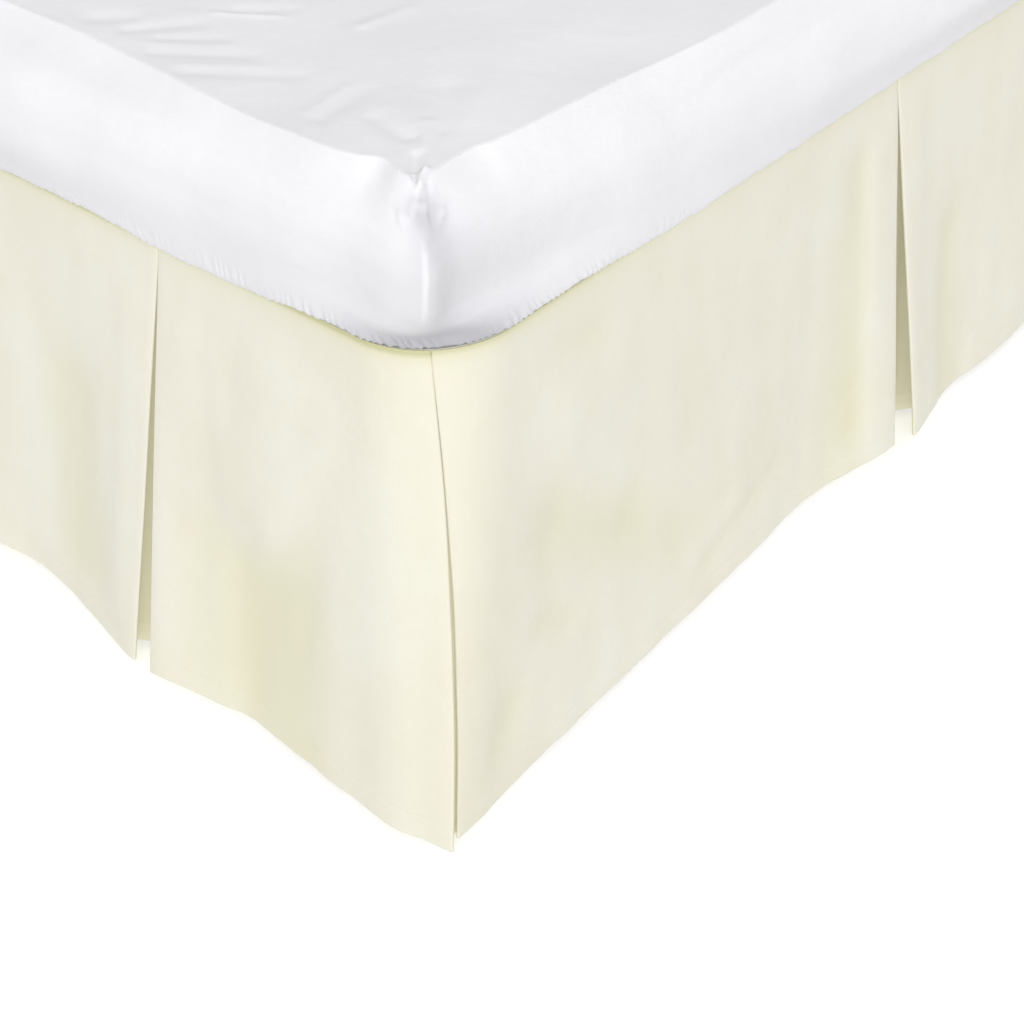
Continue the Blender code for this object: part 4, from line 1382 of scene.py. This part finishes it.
@dataclass(frozen=True)
class Mattress:
    """A single mattress in a fitted percale cover, whose elastic gathers its lower edge."""

    plan: RoundedPlan
    low: float
    high: float
    # section of the border: height above the underside, and how far inside the bed's edge
    border: Table = ((0.0300, -0.0040), (0.0550, -0.0054), (0.0780, -0.0040), (0.0920, 0.0010),
                     (0.1040, 0.0085), (0.1130, 0.0155), (0.1220, 0.0235), (0.1300, 0.0310))
    rows: Sequence[float] = (0.1290, 0.1275, 0.126, 0.124, 0.1215, 0.119, 0.116, 0.113, 0.110,
                             0.107, 0.104, 0.101, 0.098, 0.095, 0.091, 0.086, 0.080, 0.072,
                             0.062, 0.052, 0.042, 0.034)
    # its lower edge in the same way, as a path: down to a lip that hangs over the skirt's seam,
    # then back under it to the underside
    lip: Table = ((0.0270, -0.0043), (0.0210, -0.0047), (0.0160, -0.0050), (0.0120, -0.0052),
                  (0.0090, -0.0052), (0.0065, -0.0050), (0.0046, -0.0046), (0.0034, -0.0040),
                  (0.0028, -0.0032), (0.0028, -0.0025), (0.0036, -0.0022), (0.0038, -0.0018),
                  (0.0038, 0.0000), (0.0036, 0.0012), (0.0026, 0.0021), (0.0000, 0.0022))
    # how far the lip hangs below its place, by distance from the right side and from the foot
    foot_droop: Table = ((0.000, -0.001), (0.060, -0.002), (0.100, -0.003), (0.140, -0.001),
                         (0.180, 0.002), (0.220, 0.004), (0.250, 0.005), (0.275, 0.005),
                         (0.320, 0.003), (0.370, 0.000), (0.420, -0.001), (0.500, 0.001),
                         (0.600, 0.005), (0.750, 0.003), (0.900, -0.001))
    side_droop: Table = ((0.000, -0.001), (0.050, -0.001), (0.090, -0.0015), (0.150, -0.0015),
                         (0.190, -0.001), (0.235, 0.001), (0.262, 0.003), (0.300, 0.0035),
                         (0.500, 0.0035), (0.720, 0.003), (0.900, 0.003), (1.200, 0.006),
                         (1.500, 0.003), (1.780, 0.005), (1.900, 0.000))
    # how far in the sides lie below the chamfer, by distance from the foot-right corner
    right_draw: Table = ((0.000, 0.012), (0.030, 0.018), (0.055, 0.018), (0.090, 0.015),
                         (0.180, 0.009), (0.235, 0.002), (0.290, 0.000))
    foot_draw: Table = ((0.000, 0.000), (0.030, 0.001), (0.080, 0.005), (0.130, 0.002),
                        (0.180, 0.000))
    # painted shade on the right side beside the fold at that corner, by distance from the foot
    beside_fold_shade: Table = ((0.000, 0.450), (0.006, 0.600), (0.013, 1.000), (0.040, 0.900),
                          (0.070, 0.500), (0.110, 0.150), (0.150, 0.000), (1.900, 0.000))
    gather_parts: int = 3
    # how much sharper than the plan its corners are, by height: round where the elastic draws
    # them in, and almost square at the top panel
    sharpen: Table = ((0.000, -0.005), (0.008, -0.004), (0.015, 0.003), (0.022, 0.019),
                      (0.030, 0.040), (0.038, 0.062), (0.046, 0.077), (0.056, 0.081),
                      (0.092, 0.081), (0.108, 0.056), (0.120, 0.040), (0.130, 0.036))
    # how much further in the top panel starts, by distance from the foot-right corner
    right_ease: Table = ((0.03, 0.015), (0.065, 0.017), (0.094, 0.017), (0.111, 0.012),
                         (0.151, 0.008), (0.195, 0.005), (0.250, 0.001), (0.340, -0.008),
                         (0.417, -0.012), (0.800, -0.005), (1.900, 0.000))
    foot_ease: Table = ((0.020, 0.007), (0.050, 0.007), (0.078, 0.015), (0.100, 0.006),
                        (0.127, 0.001), (0.167, 0.000), (0.208, -0.001), (0.266, 0.003),
                        (0.330, 0.009), (0.394, 0.013), (0.450, 0.016), (0.900, 0.016))
    wrinkles: tuple[Wrinkle, ...] = (
        # pulls across the top near the foot end: narrow ridges between shallow hollows
        Wrinkle((0.366, 0.052, 0.134), (0.303, 0.100, 0.134), 0.0035, 0.0035, 0.0030, 0.0020,
                Profile.SHARP),
        Wrinkle((0.360, 0.068, 0.134), (0.318, 0.104, 0.134), 0.0060, 0.0070, -0.0016, -0.0010),
        Wrinkle((0.345, 0.048, 0.134), (0.278, 0.098, 0.134), 0.0070, 0.0080, -0.0018, -0.0012),
        Wrinkle((0.314, 0.047, 0.134), (0.253, 0.095, 0.134), 0.0035, 0.0035, 0.0030, 0.0018,
                Profile.SHARP),
        Wrinkle((0.300, 0.044, 0.134), (0.225, 0.098, 0.134), 0.0080, 0.0080, -0.0018, -0.0010),
        Wrinkle((0.392, 0.062, 0.134), (0.352, 0.110, 0.134), 0.0090, 0.0100, -0.0022, -0.0016),
        Wrinkle((0.430, 0.060, 0.134), (0.410, 0.080, 0.134), 0.0120, 0.0120, -0.0025, -0.0020),
        Wrinkle((0.356, 0.130, 0.134), (0.308, 0.160, 0.134), 0.0040, 0.0040, 0.0028, 0.0016,
                Profile.SHARP),
        Wrinkle((0.345, 0.148, 0.134), (0.310, 0.175, 0.134), 0.0080, 0.0080, -0.0014, -0.0010),
        Wrinkle((0.179, 0.061, 0.134), (0.184, 0.108, 0.134), 0.0050, 0.0060, 0.0024, 0.0014,
                Profile.SHARP),
        Wrinkle((0.164, 0.060, 0.134), (0.168, 0.110, 0.134), 0.0080, 0.0090, -0.0016, -0.0010),
        Wrinkle((0.244, 0.189, 0.134), (0.235, 0.236, 0.134), 0.0060, 0.0080, 0.0018, 0.0010),
        Wrinkle((0.130, 0.085, 0.134), (0.085, 0.070, 0.134), 0.0100, 0.0090, -0.0020, -0.0022),
        Wrinkle((0.090, 0.100, 0.134), (0.062, 0.064, 0.134), 0.0060, 0.0050, 0.0014, 0.0016),
        Wrinkle((0.120, 0.150, 0.134), (0.070, 0.100, 0.134), 0.0160, 0.0140, -0.0018, -0.0016),
        # the foot-right corner: a notch and a small crumpled knot at the panel's point
        Wrinkle((0.058, 0.054, 0.131), (0.044, 0.040, 0.129), 0.0070, 0.0060, -0.0025, -0.0030),
        Wrinkle((0.0420, 0.0280, 0.133), (0.0285, 0.0225, 0.122), 0.0026, 0.0024, 0.0040, 0.0026),
        Wrinkle((0.0370, 0.0450, 0.130), (0.0290, 0.0240, 0.122), 0.0028, 0.0024, 0.0040, 0.0026),
        Wrinkle((0.0350, 0.0180, 0.128), (0.0300, 0.0390, 0.125), 0.0022, 0.0022, 0.0030, 0.0024),
        Wrinkle((0.0395, 0.0330, 0.131), (0.0335, 0.0300, 0.127), 0.0024, 0.0020, -0.0040, -0.0030),
        Wrinkle((0.0340, 0.0250, 0.126), (0.0310, 0.0280, 0.124), 0.0018, 0.0018, -0.0030, -0.0024),
        Wrinkle((0.0320, 0.0420, 0.127), (0.0260, 0.0340, 0.122), 0.0022, 0.0020, -0.0028, -0.0016),
        # spare cloth crumpled on the corner below it
        Wrinkle((0.024, 0.024, 0.117), (0.015, 0.015, 0.102), 0.0150, 0.0140, -0.0030, -0.0025),
        Wrinkle((0.012, 0.036, 0.121), (0.028, 0.014, 0.111), 0.0024, 0.0022, 0.0034, 0.0026),
        Wrinkle((0.036, 0.012, 0.122), (0.016, 0.028, 0.108), 0.0024, 0.0022, 0.0034, 0.0030),
        Wrinkle((0.038, 0.012, 0.112), (0.016, 0.018, 0.100), 0.0024, 0.0022, 0.0030, 0.0024),
        Wrinkle((0.012, 0.040, 0.112), (0.014, 0.020, 0.099), 0.0024, 0.0022, 0.0030, 0.0020),
        Wrinkle((0.028, 0.016, 0.117), (0.023, 0.020, 0.112), 0.0022, 0.0022, -0.0038, -0.0030),
        Wrinkle((0.014, 0.028, 0.114), (0.017, 0.024, 0.107), 0.0022, 0.0022, -0.0038, -0.0030),
        Wrinkle((0.019, 0.019, 0.107), (0.014, 0.014, 0.100), 0.0022, 0.0022, -0.0032, -0.0024),
        # the fold of spare cloth that falls from the knot, and the hollow on its right
        Wrinkle((0.014, 0.034, 0.100), (0.014, 0.034, 0.040), 0.0170, 0.0170, -0.0040, -0.0040),
        # the foot-left corner
        Wrinkle((0.868, 0.030, 0.129), (0.876, 0.024, 0.112), 0.0050, 0.0040, 0.0035, 0.0030),
        Wrinkle((0.862, 0.034, 0.130), (0.870, 0.028, 0.116), 0.0045, 0.0040, -0.0030, -0.0025),
        Wrinkle((0.874, 0.020, 0.110), (0.873, 0.020, 0.010), 0.0160, 0.0140, 0.0035, 0.0030),
    )
    hang_inset: float = -2 * MM    # the lip hangs freely where it stands further out than this
    tuft_top: float = 9 * MM       # height below which the lip's tufts show,
    tuft_reach: float = 6 * MM     # and over what height they come in
    droop_top: float = 26 * MM     # the same for its droop
    droop_reach: float = 22 * MM
    corner_reach: float = 0.16     # how far from a side the foot-right corner's draws go
    knot: tuple[float, float, float] = (0.024, 0.024, 0.114)  # crumpled cloth at that corner
    knot_reach: float = 0.022
    gather: float = 8.5 * MM       # from one gather of the elastic to the next
    tuft: float = 7.3 * MM         # from one tuft of the lip to the next
    finish: WovenCotton = WHITE_PERCALE
    name: str = "mattress_in_fitted_cover"

    def from_side(self, across: np.ndarray) -> np.ndarray:
        """Distance from the nearer long side of points in from the right side."""
        return np.minimum(across, 2 * self.plan.half_x - across)

    def build(self) -> bpy.types.Object:
        """Makes top panel, border, gathered lower edge and flat underside.

        Returns:
            The covered mattress.
        """
        # points closest together at the foot-right corner, where the folds are finest
        width, length = 2 * self.plan.half_x, 2 * self.plan.half_y
        a = square_lines(((0.08, 4 * MM), (width / 2, 12 * MM), (width - 0.06, 3.2 * MM),
                          (width, 1.8 * MM)))
        b = square_lines(((0.06, 1.8 * MM), (0.30, 3.2 * MM), (length - 0.08, 20 * MM),
                          (length, 6 * MM)))
        shell = Shell(self.plan)
        edge_up, edge_in = self.border[-1]
        rise = self.high - self.low - edge_up
        upper = shell.panel(a, b, self.low + edge_up, rise, edge_in, self.sharpen[-1][1])
        square = square_border(a, b)
        for up in self.rows:
            inset, sharpen = (float(soft_curve(table, np.array(up)))
                              for table in (self.border, self.sharpen))
            lower = shell.ring(square, self.low + up, inset, sharpen)
            shell.wall(upper, lower)
            upper = lower
        square = square_border(a, b, self.gather_parts)
        places = self.plan.place(square, 0.0)
        tufts, droop = self.tufts(arc_lengths(places)), self.droop(places)
        for up, inset in self.lip:
            hanging = inset < self.hang_inset
            fall = (float(ease((self.tuft_top - up) / self.tuft_reach)) * tufts
                    + float(ease((self.droop_top - up) / self.droop_reach)) * droop) * hanging
            sharpen = float(soft_curve(self.sharpen, np.array(up)))
            lower = shell.ring(square, self.low + up - fall, inset, sharpen)
            shell.wall(upper, lower)
            upper = lower
        shell.cap(upper, facing_up=False)
        piece = shell.piece(self.name)
        self.shape(piece, shell.all_arcs())
        return piece

    def shape(self, piece: bpy.types.Object, arcs: np.ndarray) -> None:
        """Sets the cover's folds into the mesh, and keeps its painted shade.

        Args:
            piece: the plain mattress.
            arcs: each vertex's distance round the border.
        """
        mesh = piece.data
        points, normals = np.empty((2, len(mesh.vertices) * 3))
        mesh.vertices.foreach_get("co", points)
        mesh.vertex_normals.foreach_get("vector", normals)
        points, normals = points.reshape(-1, 3), normals.reshape(-1, 3)
        across = self.plan.half_x - points[:, 0]
        along = points[:, 1] - self.plan.foot_y
        up = points[:, 2] - self.low

        # the foot-right corner: the top panel drawn in, and the sides below its chamfer
        raised = ease_past(up, 0.098, 0.030)
        near_right, near_foot = (ease(1 - away / self.corner_reach) for away in (across, along))
        points[:, 0] -= soft_curve(self.right_ease, along) * raised * near_right
        points[:, 1] += soft_curve(self.foot_ease, across) * raised * near_foot
        sides = ((0.12 + 0.88 * ease(up / 0.045)) * (1 - 0.45 * ease_past(up, 0.03, 0.07))
                 * (1 - raised))
        points[:, 0] -= soft_curve(self.right_draw, along) * sides * near_right
        points[:, 1] += soft_curve(self.foot_draw, across) * sides * near_foot

        # wrinkles, gathers and swells, along the normals
        places = np.column_stack([across, along, up])
        turned = normals * np.array([-1.0, 1.0, 1.0])
        folds = sum(wrinkle.lift(places, turned) for wrinkle in (*self.wrinkles, *loose_wrinkles()))
        folds *= ease_past(up, 3 * MM, 8 * MM)
        lift = self.gathers(arcs, places) + self.unevenness(places) + folds
        points += normals * lift[:, None]
        mesh.vertices.foreach_set("co", points.ravel())
        mesh.update()
        # painted shade in the tucks, beside the corner fold and in the knot
        set_painted_shade(piece, self.painted_shade(places, folds))

    def painted_shade(self, places: np.ndarray, folds: np.ndarray) -> np.ndarray:
        """Painted shade on the cover: under its lip and gathered corners, beside the fold and in
        the knot.

        Args:
            places: points of the cover, as rows of across, along and up.
            folds: how far its wrinkles lift each point.

        Returns:
            From 0 to 1 at each point.
        """
        across, along, up = places.T
        aside = self.from_side(across)
        # painted shade behind the lip, low down all round and most of all at the gathered corners
        tucked_shade = (np.exp(-(aside / 0.075) ** 2 - (along / 0.068) ** 2) * 1.3
                  * ease(1.3 - up / (24 * MM))) + 0.10 * ease(1.3 - up / (45 * MM))
        # painted shade on the right side, beside the fold at the foot-right corner
        beside = (0.34 * ease(1 - across / 0.03) * soft_curve(self.beside_fold_shade, along)
                  * ease((0.118 - up) / 0.03))
        # painted shade in the hollows of the knot
        from_knot = np.linalg.norm(places - np.array(self.knot), axis=1)
        knot = (0.7 * np.exp(-(from_knot / self.knot_reach) ** 2)
                * np.clip(-folds / (4 * MM), 0.0, 1.0))
        return np.clip(tucked_shade + beside + knot, 0.0, 1.0)

    def droop(self, places: np.ndarray) -> np.ndarray:
        """How far the lip hangs below its place.

        Args:
            places: plan points on the border, as rows.

        Returns:
            How far it hangs at each point.
        """
        across = self.plan.half_x - places[:, 0]
        along = places[:, 1] - self.plan.foot_y
        ahead = 2 * self.plan.half_y - along
        side = soft_curve(self.side_droop, along)
        foot = soft_curve(self.foot_droop, across)
        return np.where(self.from_side(across) > along, foot, side) * ease(ahead / 0.1)

    def gathers(self, arcs: np.ndarray, places: np.ndarray) -> np.ndarray:
        """Small gathers that the elastic draws into the lower edge, fullest near the corners.

        Args:
            arcs: each point's distance round the border.
            places: points of the cover, as rows of across, along and up.

        Returns:
            Lift along the normal at each point.
        """
        across, along, up = places.T
        near_corner = np.exp(-(self.from_side(across) ** 2 + along ** 2) / 0.25 ** 2)
        turn = 2 * math.pi * arcs
        wave = np.sin(turn / self.gather + 2.2 * np.sin(turn / 0.061) + 1.3 * np.sin(turn / 0.023))
        swell = 0.6 + 0.4 * np.sin(turn / 0.094 + 1.0)
        height = (0.5 * MM + 1.4 * MM * near_corner) * swell
        return height * wave * ease(1 - up / (18 * MM)) * ease_past(up, 3.5 * MM, 4 * MM)

    def tufts(self, arcs: np.ndarray) -> np.ndarray:
        """How much lower than its average the cover's lip hangs.

        Args:
            arcs: distances round it.

        Returns:
            How much lower it hangs at each.
        """
        turn = 2 * math.pi * arcs
        fine = np.sin(turn / self.tuft + 2.0 * np.sin(turn / 0.043))
        slow = np.sin(turn / 0.067 + 1.1) * np.sin(turn / 0.151)
        return 1.0 * MM * fine * (0.6 + 0.4 * slow) + 0.9 * MM * slow

    def unevenness(self, places: np.ndarray) -> np.ndarray:
        """Slow swells of the filling and of the stretched cover.

        Args:
            places: points of the cover, as rows of across, along and up.

        Returns:
            Lift along the normal at each point.
        """
        across, along, up = places.T
        swell = (np.sin(19 * across + 1.0) * np.sin(14 * along + 0.4)
                 + 0.5 * np.sin(47 * across + 31 * along)
                 + 0.4 * np.sin(38 * along - 9 * up / MM / 20))
        return 0.8 * MM * swell * ease_past(up, 5 * MM, 20 * MM)

    def dress(self, piece: bpy.types.Object) -> None:
        """Finish and body of the mattress."""
        dress(piece, self.finish, ["mattress"])


@dataclass(frozen=True)
class DivanBase:
    """The upholstered base: straight padded sides, with a welt along its top and bottom edges."""

    plan: RoundedPlan
    low: float
    high: float
    edge: float = 10 * MM          # rounding of the top and bottom edges
    welt: float = 1.4 * MM         # how far a welt stands out
    welt_place: float = 18 * MM    # from an edge to its welt
    welt_reach: float = 2 * MM     # half the width of a welt
    groove_reach: float = 5 * MM   # half the width of the groove that it sits in
    finish: WovenUpholstery = WovenUpholstery()
    name: str = "divan_base_upholstery"

    def inset(self, up: float) -> float:
        """How far the side is drawn in.

        Args:
            up: height above the underside.

        Returns:
            The rounded edge and the groove that a welt sits in, less the welt.
        """
        height = self.high - self.low
        near = min(up, height - up)
        rounding = self.edge - math.sqrt(max(self.edge ** 2 - max(self.edge - near, 0) ** 2, 0))
        welt = self.welt * math.exp(-((near - self.welt_place) / self.welt_reach) ** 2)
        groove = 0.8 * self.welt * math.exp(-((near - self.welt_place) / self.groove_reach) ** 2)
        return rounding + groove - 1.6 * welt

    def build(self) -> bpy.types.Object:
        """Makes the base as one closed form.

        Returns:
            The base.
        """
        edge = np.array([0, 0.4, 1.2, 2.5, 4, 6, 8, 10, 12, 14, 15, 16, 17, 18, 19, 20, 21, 22,
                         24, 27, 31]) * MM
        height = self.high - self.low
        middle = np.linspace(edge[-1], height - edge[-1], 14)[1:-1]
        heights = np.concatenate([height - edge, middle[::-1], edge[::-1]])
        shell = Shell(self.plan)
        shell.stack(self.plan.border(30 * MM),
                    ((self.low + up, self.inset(float(up))) for up in heights))
        return shell.piece(self.name)

    def dress(self, piece: bpy.types.Object) -> None:
        """Finish and body of the base."""
        dress(piece, self.finish, ["divan_base"])


@dataclass(frozen=True)
class SkirtDeck:
    """The flat deck that the drops are sewn to, held between base and mattress."""

    plan: RoundedPlan
    low: float
    high: float
    finish: WovenCotton = CREAM_PERCALE
    name: str = "skirt_deck_cloth"

    def build(self) -> bpy.types.Object:
        """Makes the deck with a rounded edge.

        Returns:
            The deck.
        """
        radius = (self.high - self.low) / 2
        turns = np.linspace(math.pi / 2, -math.pi / 2, 7)
        shell = Shell(self.plan)
        shell.stack(self.plan.border(40 * MM),
                    ((self.low + radius * (1 + math.sin(turn)), radius * (1 - math.cos(turn)))
                     for turn in turns))
        return shell.piece(self.name)

    def dress(self, piece: bpy.types.Object) -> None:
        """Finish and body of the deck."""
        dress(piece, self.finish, ["skirt_deck"])


@dataclass(frozen=True)
class Glide:
    """A moulded glide under the base: a flange above a tapered foot with a rounded sole."""

    node: str
    # section from the top: share of the height, and how far inside the flange's edge
    section: Table = ((1.00, 0.8 * MM), (0.985, 0.0), (0.90, 0.0), (0.88, 0.8 * MM),
                      (0.86, 3.0 * MM), (0.60, 3.6 * MM), (0.10, 4.6 * MM), (0.04, 5.4 * MM),
                      (0.012, 7.2 * MM), (0.00, 10.0 * MM))
    finish: MouldedNylon = MouldedNylon()

    def build(self) -> bpy.types.Object:
        """Turns the glide to its section.

        Returns:
            The glide.
        """
        low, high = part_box(self.node)
        middle, radius = (low + high) / 2, (high.x - low.x) / 2
        plan = RoundedPlan(radius, middle.y - radius, middle.y + radius, radius, radius, middle.x)
        side = np.linspace(-1, 1, 13)
        square = square_border(side, side)
        shell = Shell(plan)
        shell.stack(square, ((low.z + share * (high.z - low.z), inset)
                             for share, inset in self.section))
        return shell.piece(f"{self.node}_moulding")

    def dress(self, piece: bpy.types.Object) -> None:
        """Finish and body of the glide."""
        dress(piece, self.finish, [self.node])


# --- the room and the camera ----------------------------------------------------------------------
@dataclass(frozen=True)
class Softbox:
    """A large soft studio lamp that points at the foot corner of the bed."""

    name: str
    place: tuple[float, float, float]
    size: float
    power: float
    shadows: bool = True

    def build(self) -> None:
        """Adds the lamp."""
        light = bpy.data.lights.new(self.name, "AREA")
        light.size, light.energy, light.use_shadow = self.size, self.power, self.shadows
        lamp = bpy.data.objects.new(self.name, light)
        bpy.context.scene.collection.objects.link(lamp)
        lamp.location = self.place
        aim = Vector((BED.half_width, BED.foot_y, BED.seam_z)) - Vector(self.place)
        lamp.rotation_euler = aim.to_track_quat("-Z", "Y").to_euler()


@dataclass(frozen=True)
class Studio:
    """A plain pale floor under plain soft light."""

    floor_size: float = 60.0
    sky: str = "FFFFFF"
    sky_strength: float = 0.46
    lamps: tuple[Softbox, ...] = (
        Softbox("key_softbox", (9.9, -11.1, 11.6), 9.0, 640.0),
        Softbox("front_fill", (9.9, -11.1, 11.6), 9.0, 1600.0, shadows=False),
        Softbox("foot_fill", (-0.3, -9.5, 15.9), 9.0, 512.0, shadows=False),
        Softbox("side_fill", (9.0, -0.2, 15.9), 9.0, 570.0, shadows=False),
    )
    finish: PaperSweep = PaperSweep()

    def build(self) -> None:
        """Adds floor, sky and lamps."""
        half = self.floor_size / 2
        corners = np.array([(-half, -half, 0), (half, -half, 0), (half, half, 0), (-half, half, 0)])
        floor = make_piece("studio_floor", corners, [(0, 1, 2, 3)])
        floor.data.materials.append(self.finish.material())
        world = bpy.data.worlds.new("studio_sky")
        world.use_nodes = True
        background = world.node_tree.nodes["Background"]
        background.inputs["Color"].default_value = linear(self.sky)
        background.inputs["Strength"].default_value = self.sky_strength
        bpy.context.scene.world = world
        for lamp in self.lamps:
            lamp.build()


@dataclass(frozen=True)
class ViewCamera:
    """The camera, above and outside the foot-right corner, looking down at it."""

    from_corner: tuple[float, float, float] = (0.7763, -0.8277, 1.1854)
    yaw: float = 40.5125           # degrees, anticlockwise from straight along the bed
    pitch: float = 38.5660         # degrees below the horizon
    roll: float = -0.6435
    lens: float = 67.06            # mm, on a 36 mm sensor

    def build(self) -> None:
        """Adds the camera and looks through it."""
        camera = bpy.data.cameras.new("view_camera")
        camera.lens, camera.sensor_width, camera.clip_end = self.lens, 36.0, 100.0
        holder = bpy.data.objects.new("view_camera", camera)
        bpy.context.scene.collection.objects.link(holder)
        yaw, pitch, roll = (math.radians(angle) for angle in (self.yaw, self.pitch, self.roll))
        ahead = Vector((-math.sin(yaw) * math.cos(pitch), math.cos(yaw) * math.cos(pitch),
                        -math.sin(pitch)))
        right = ahead.cross(Vector((0, 0, 1))).normalized()
        above = right.cross(ahead)
        turned_right = math.cos(roll) * right + math.sin(roll) * above
        turned_up = math.cos(roll) * above - math.sin(roll) * right
        pose = Matrix((turned_right, turned_up, -ahead)).transposed().to_4x4()
        pose.translation = Vector((BED.half_width, BED.foot_y, 0)) + Vector(self.from_corner)
        holder.matrix_world = pose
        bpy.context.scene.camera = holder


# --- the whole object -----------------------------------------------------------------------------
FOOT_FACE = Face(corner=(BED.half_width, BED.foot_y), u_way=(-1, 0), v_way=(0, -1),
                 length=BED.width, far_round=True, hem=FOOT_HEM, creases=FOOT_CREASES,
                 bow_start=-1, bow_end=1, seed=0.7, crevice=1.7)
RIGHT_FACE = Face(corner=(BED.half_width, BED.foot_y), u_way=(0, 1), v_way=(1, 0),
                  length=BED.length, far_round=False, hem=RIGHT_HEM, creases=RIGHT_CREASES,
                  bow_start=1, bow_end=0, seed=2.3)
LEFT_FACE = Face(corner=(-BED.half_width, BED.foot_y), u_way=(0, 1), v_way=(-1, 0),
                 length=BED.length, far_round=False, hem=LEFT_HEM, creases=LEFT_CREASES,
                 bow_start=-1, bow_end=0, seed=4.9)

FOOT_PLEATS = (Pleat(0.300, 0.2865, 0.309, 0.029, 0.013, 0.000, 0.030),
               Pleat(0.600, 0.591, 0.613, 0.026, 0.020))
RIGHT_PLEATS = (Pleat(0.633, 0.633, 0.659, 0.038, 0.016, 0.020, 0.030),
                Pleat(1.267, 1.255, 1.279, 0.026, 0.022))
LEFT_PLEATS = (Pleat(0.633, 0.622, 0.646, 0.026, 0.020), Pleat(1.267, 1.256, 1.281, 0.022, 0.026))


DECK_INSET = 1.2 * MM          # of the deck's edge, so that the drops stand just outside it


def skirt_drops() -> list[Drop]:
    """The drops, split at the foot corners.

    Returns:
        The drops of the foot end, the right side and the left side.
    """
    edge = EDGE_GAP + TURN
    foot_start = (DIAGONAL_ARC + SLIT_SHIFT + edge, FOOT_HEM[0][0] + TURN)
    foot_end = (BED.width - foot_start[0], FOOT_HEM[-1][0] - TURN)
    drops = [Drop("skirt_drop_foot", "drop_foot", FOOT_FACE, FOOT_PLEATS, foot_start, foot_end,
                  end_turned=True)]
    for hand, face, pleats in (("right", RIGHT_FACE, RIGHT_PLEATS),
                               ("left", LEFT_FACE, LEFT_PLEATS)):
        start = (DIAGONAL_ARC - SLIT_SHIFT + edge, face.hem[0][0] + TURN)
        end = (BED.length - BED.head_radius, face.hem[-1][0])
        drops.append(Drop(f"skirt_drop_{hand}", f"drop_{hand}", face, pleats, start, end,
                          end_turned=False))
    return drops


def bed_pieces() -> list[Mattress | SkirtDeck | DivanBase | Glide]:
    """What the skirt is held by, on the places of their CAD nodes.

    Returns:
        Mattress, deck, base and glides.
    """
    def plan_of(node: str, foot_radius: float, head_radius: float
                ) -> tuple[RoundedPlan, float, float]:
        """The rounded plan of a node, and its lowest and highest z."""
        low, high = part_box(node)
        return RoundedPlan(high.x, low.y, high.y, foot_radius, head_radius), low.z, high.z

    deck_low, deck_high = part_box("skirt_deck")
    inset = BED.half_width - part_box("divan_base")[1].x
    radius, head = BED.foot_radius, BED.head_radius
    glides = [Glide(f"glide_{row}_{hand}") for row in ("foot", "middle", "head")
              for hand in ("left", "right")]
    return [Mattress(*plan_of("mattress", radius, radius)),
            SkirtDeck(RoundedPlan(BED.half_width - DECK_INSET, BED.foot_y + DECK_INSET,
                                  deck_high.y, radius - DECK_INSET, head),
                      deck_low.z, deck_high.z),
            DivanBase(*plan_of("divan_base", radius - inset, head - inset)),
            *glides]


def main() -> None:
    """Builds the studio, the bed and the skirt, and reports each piece."""
    logging.basicConfig(level=logging.INFO, format="%(message)s")
    bpy.context.scene.view_settings.view_transform = "Standard"
    ViewCamera().build()
    Studio().build()
    underlays = [CornerUnderlay("skirt_underlay_right", "corner_underlay_right", RIGHT_FACE,
                                FOOT_FACE, mirrored=False),
                 CornerUnderlay("skirt_underlay_left", "corner_underlay_left", LEFT_FACE,
                                FOOT_FACE, mirrored=True)]
    for part in (*bed_pieces(), *skirt_drops(), *underlays):
        piece = part.build()
        part.dress(piece)
        log.info("%s: %d faces", piece.name, len(piece.data.polygons))


if __name__ == "__main__":
    main()
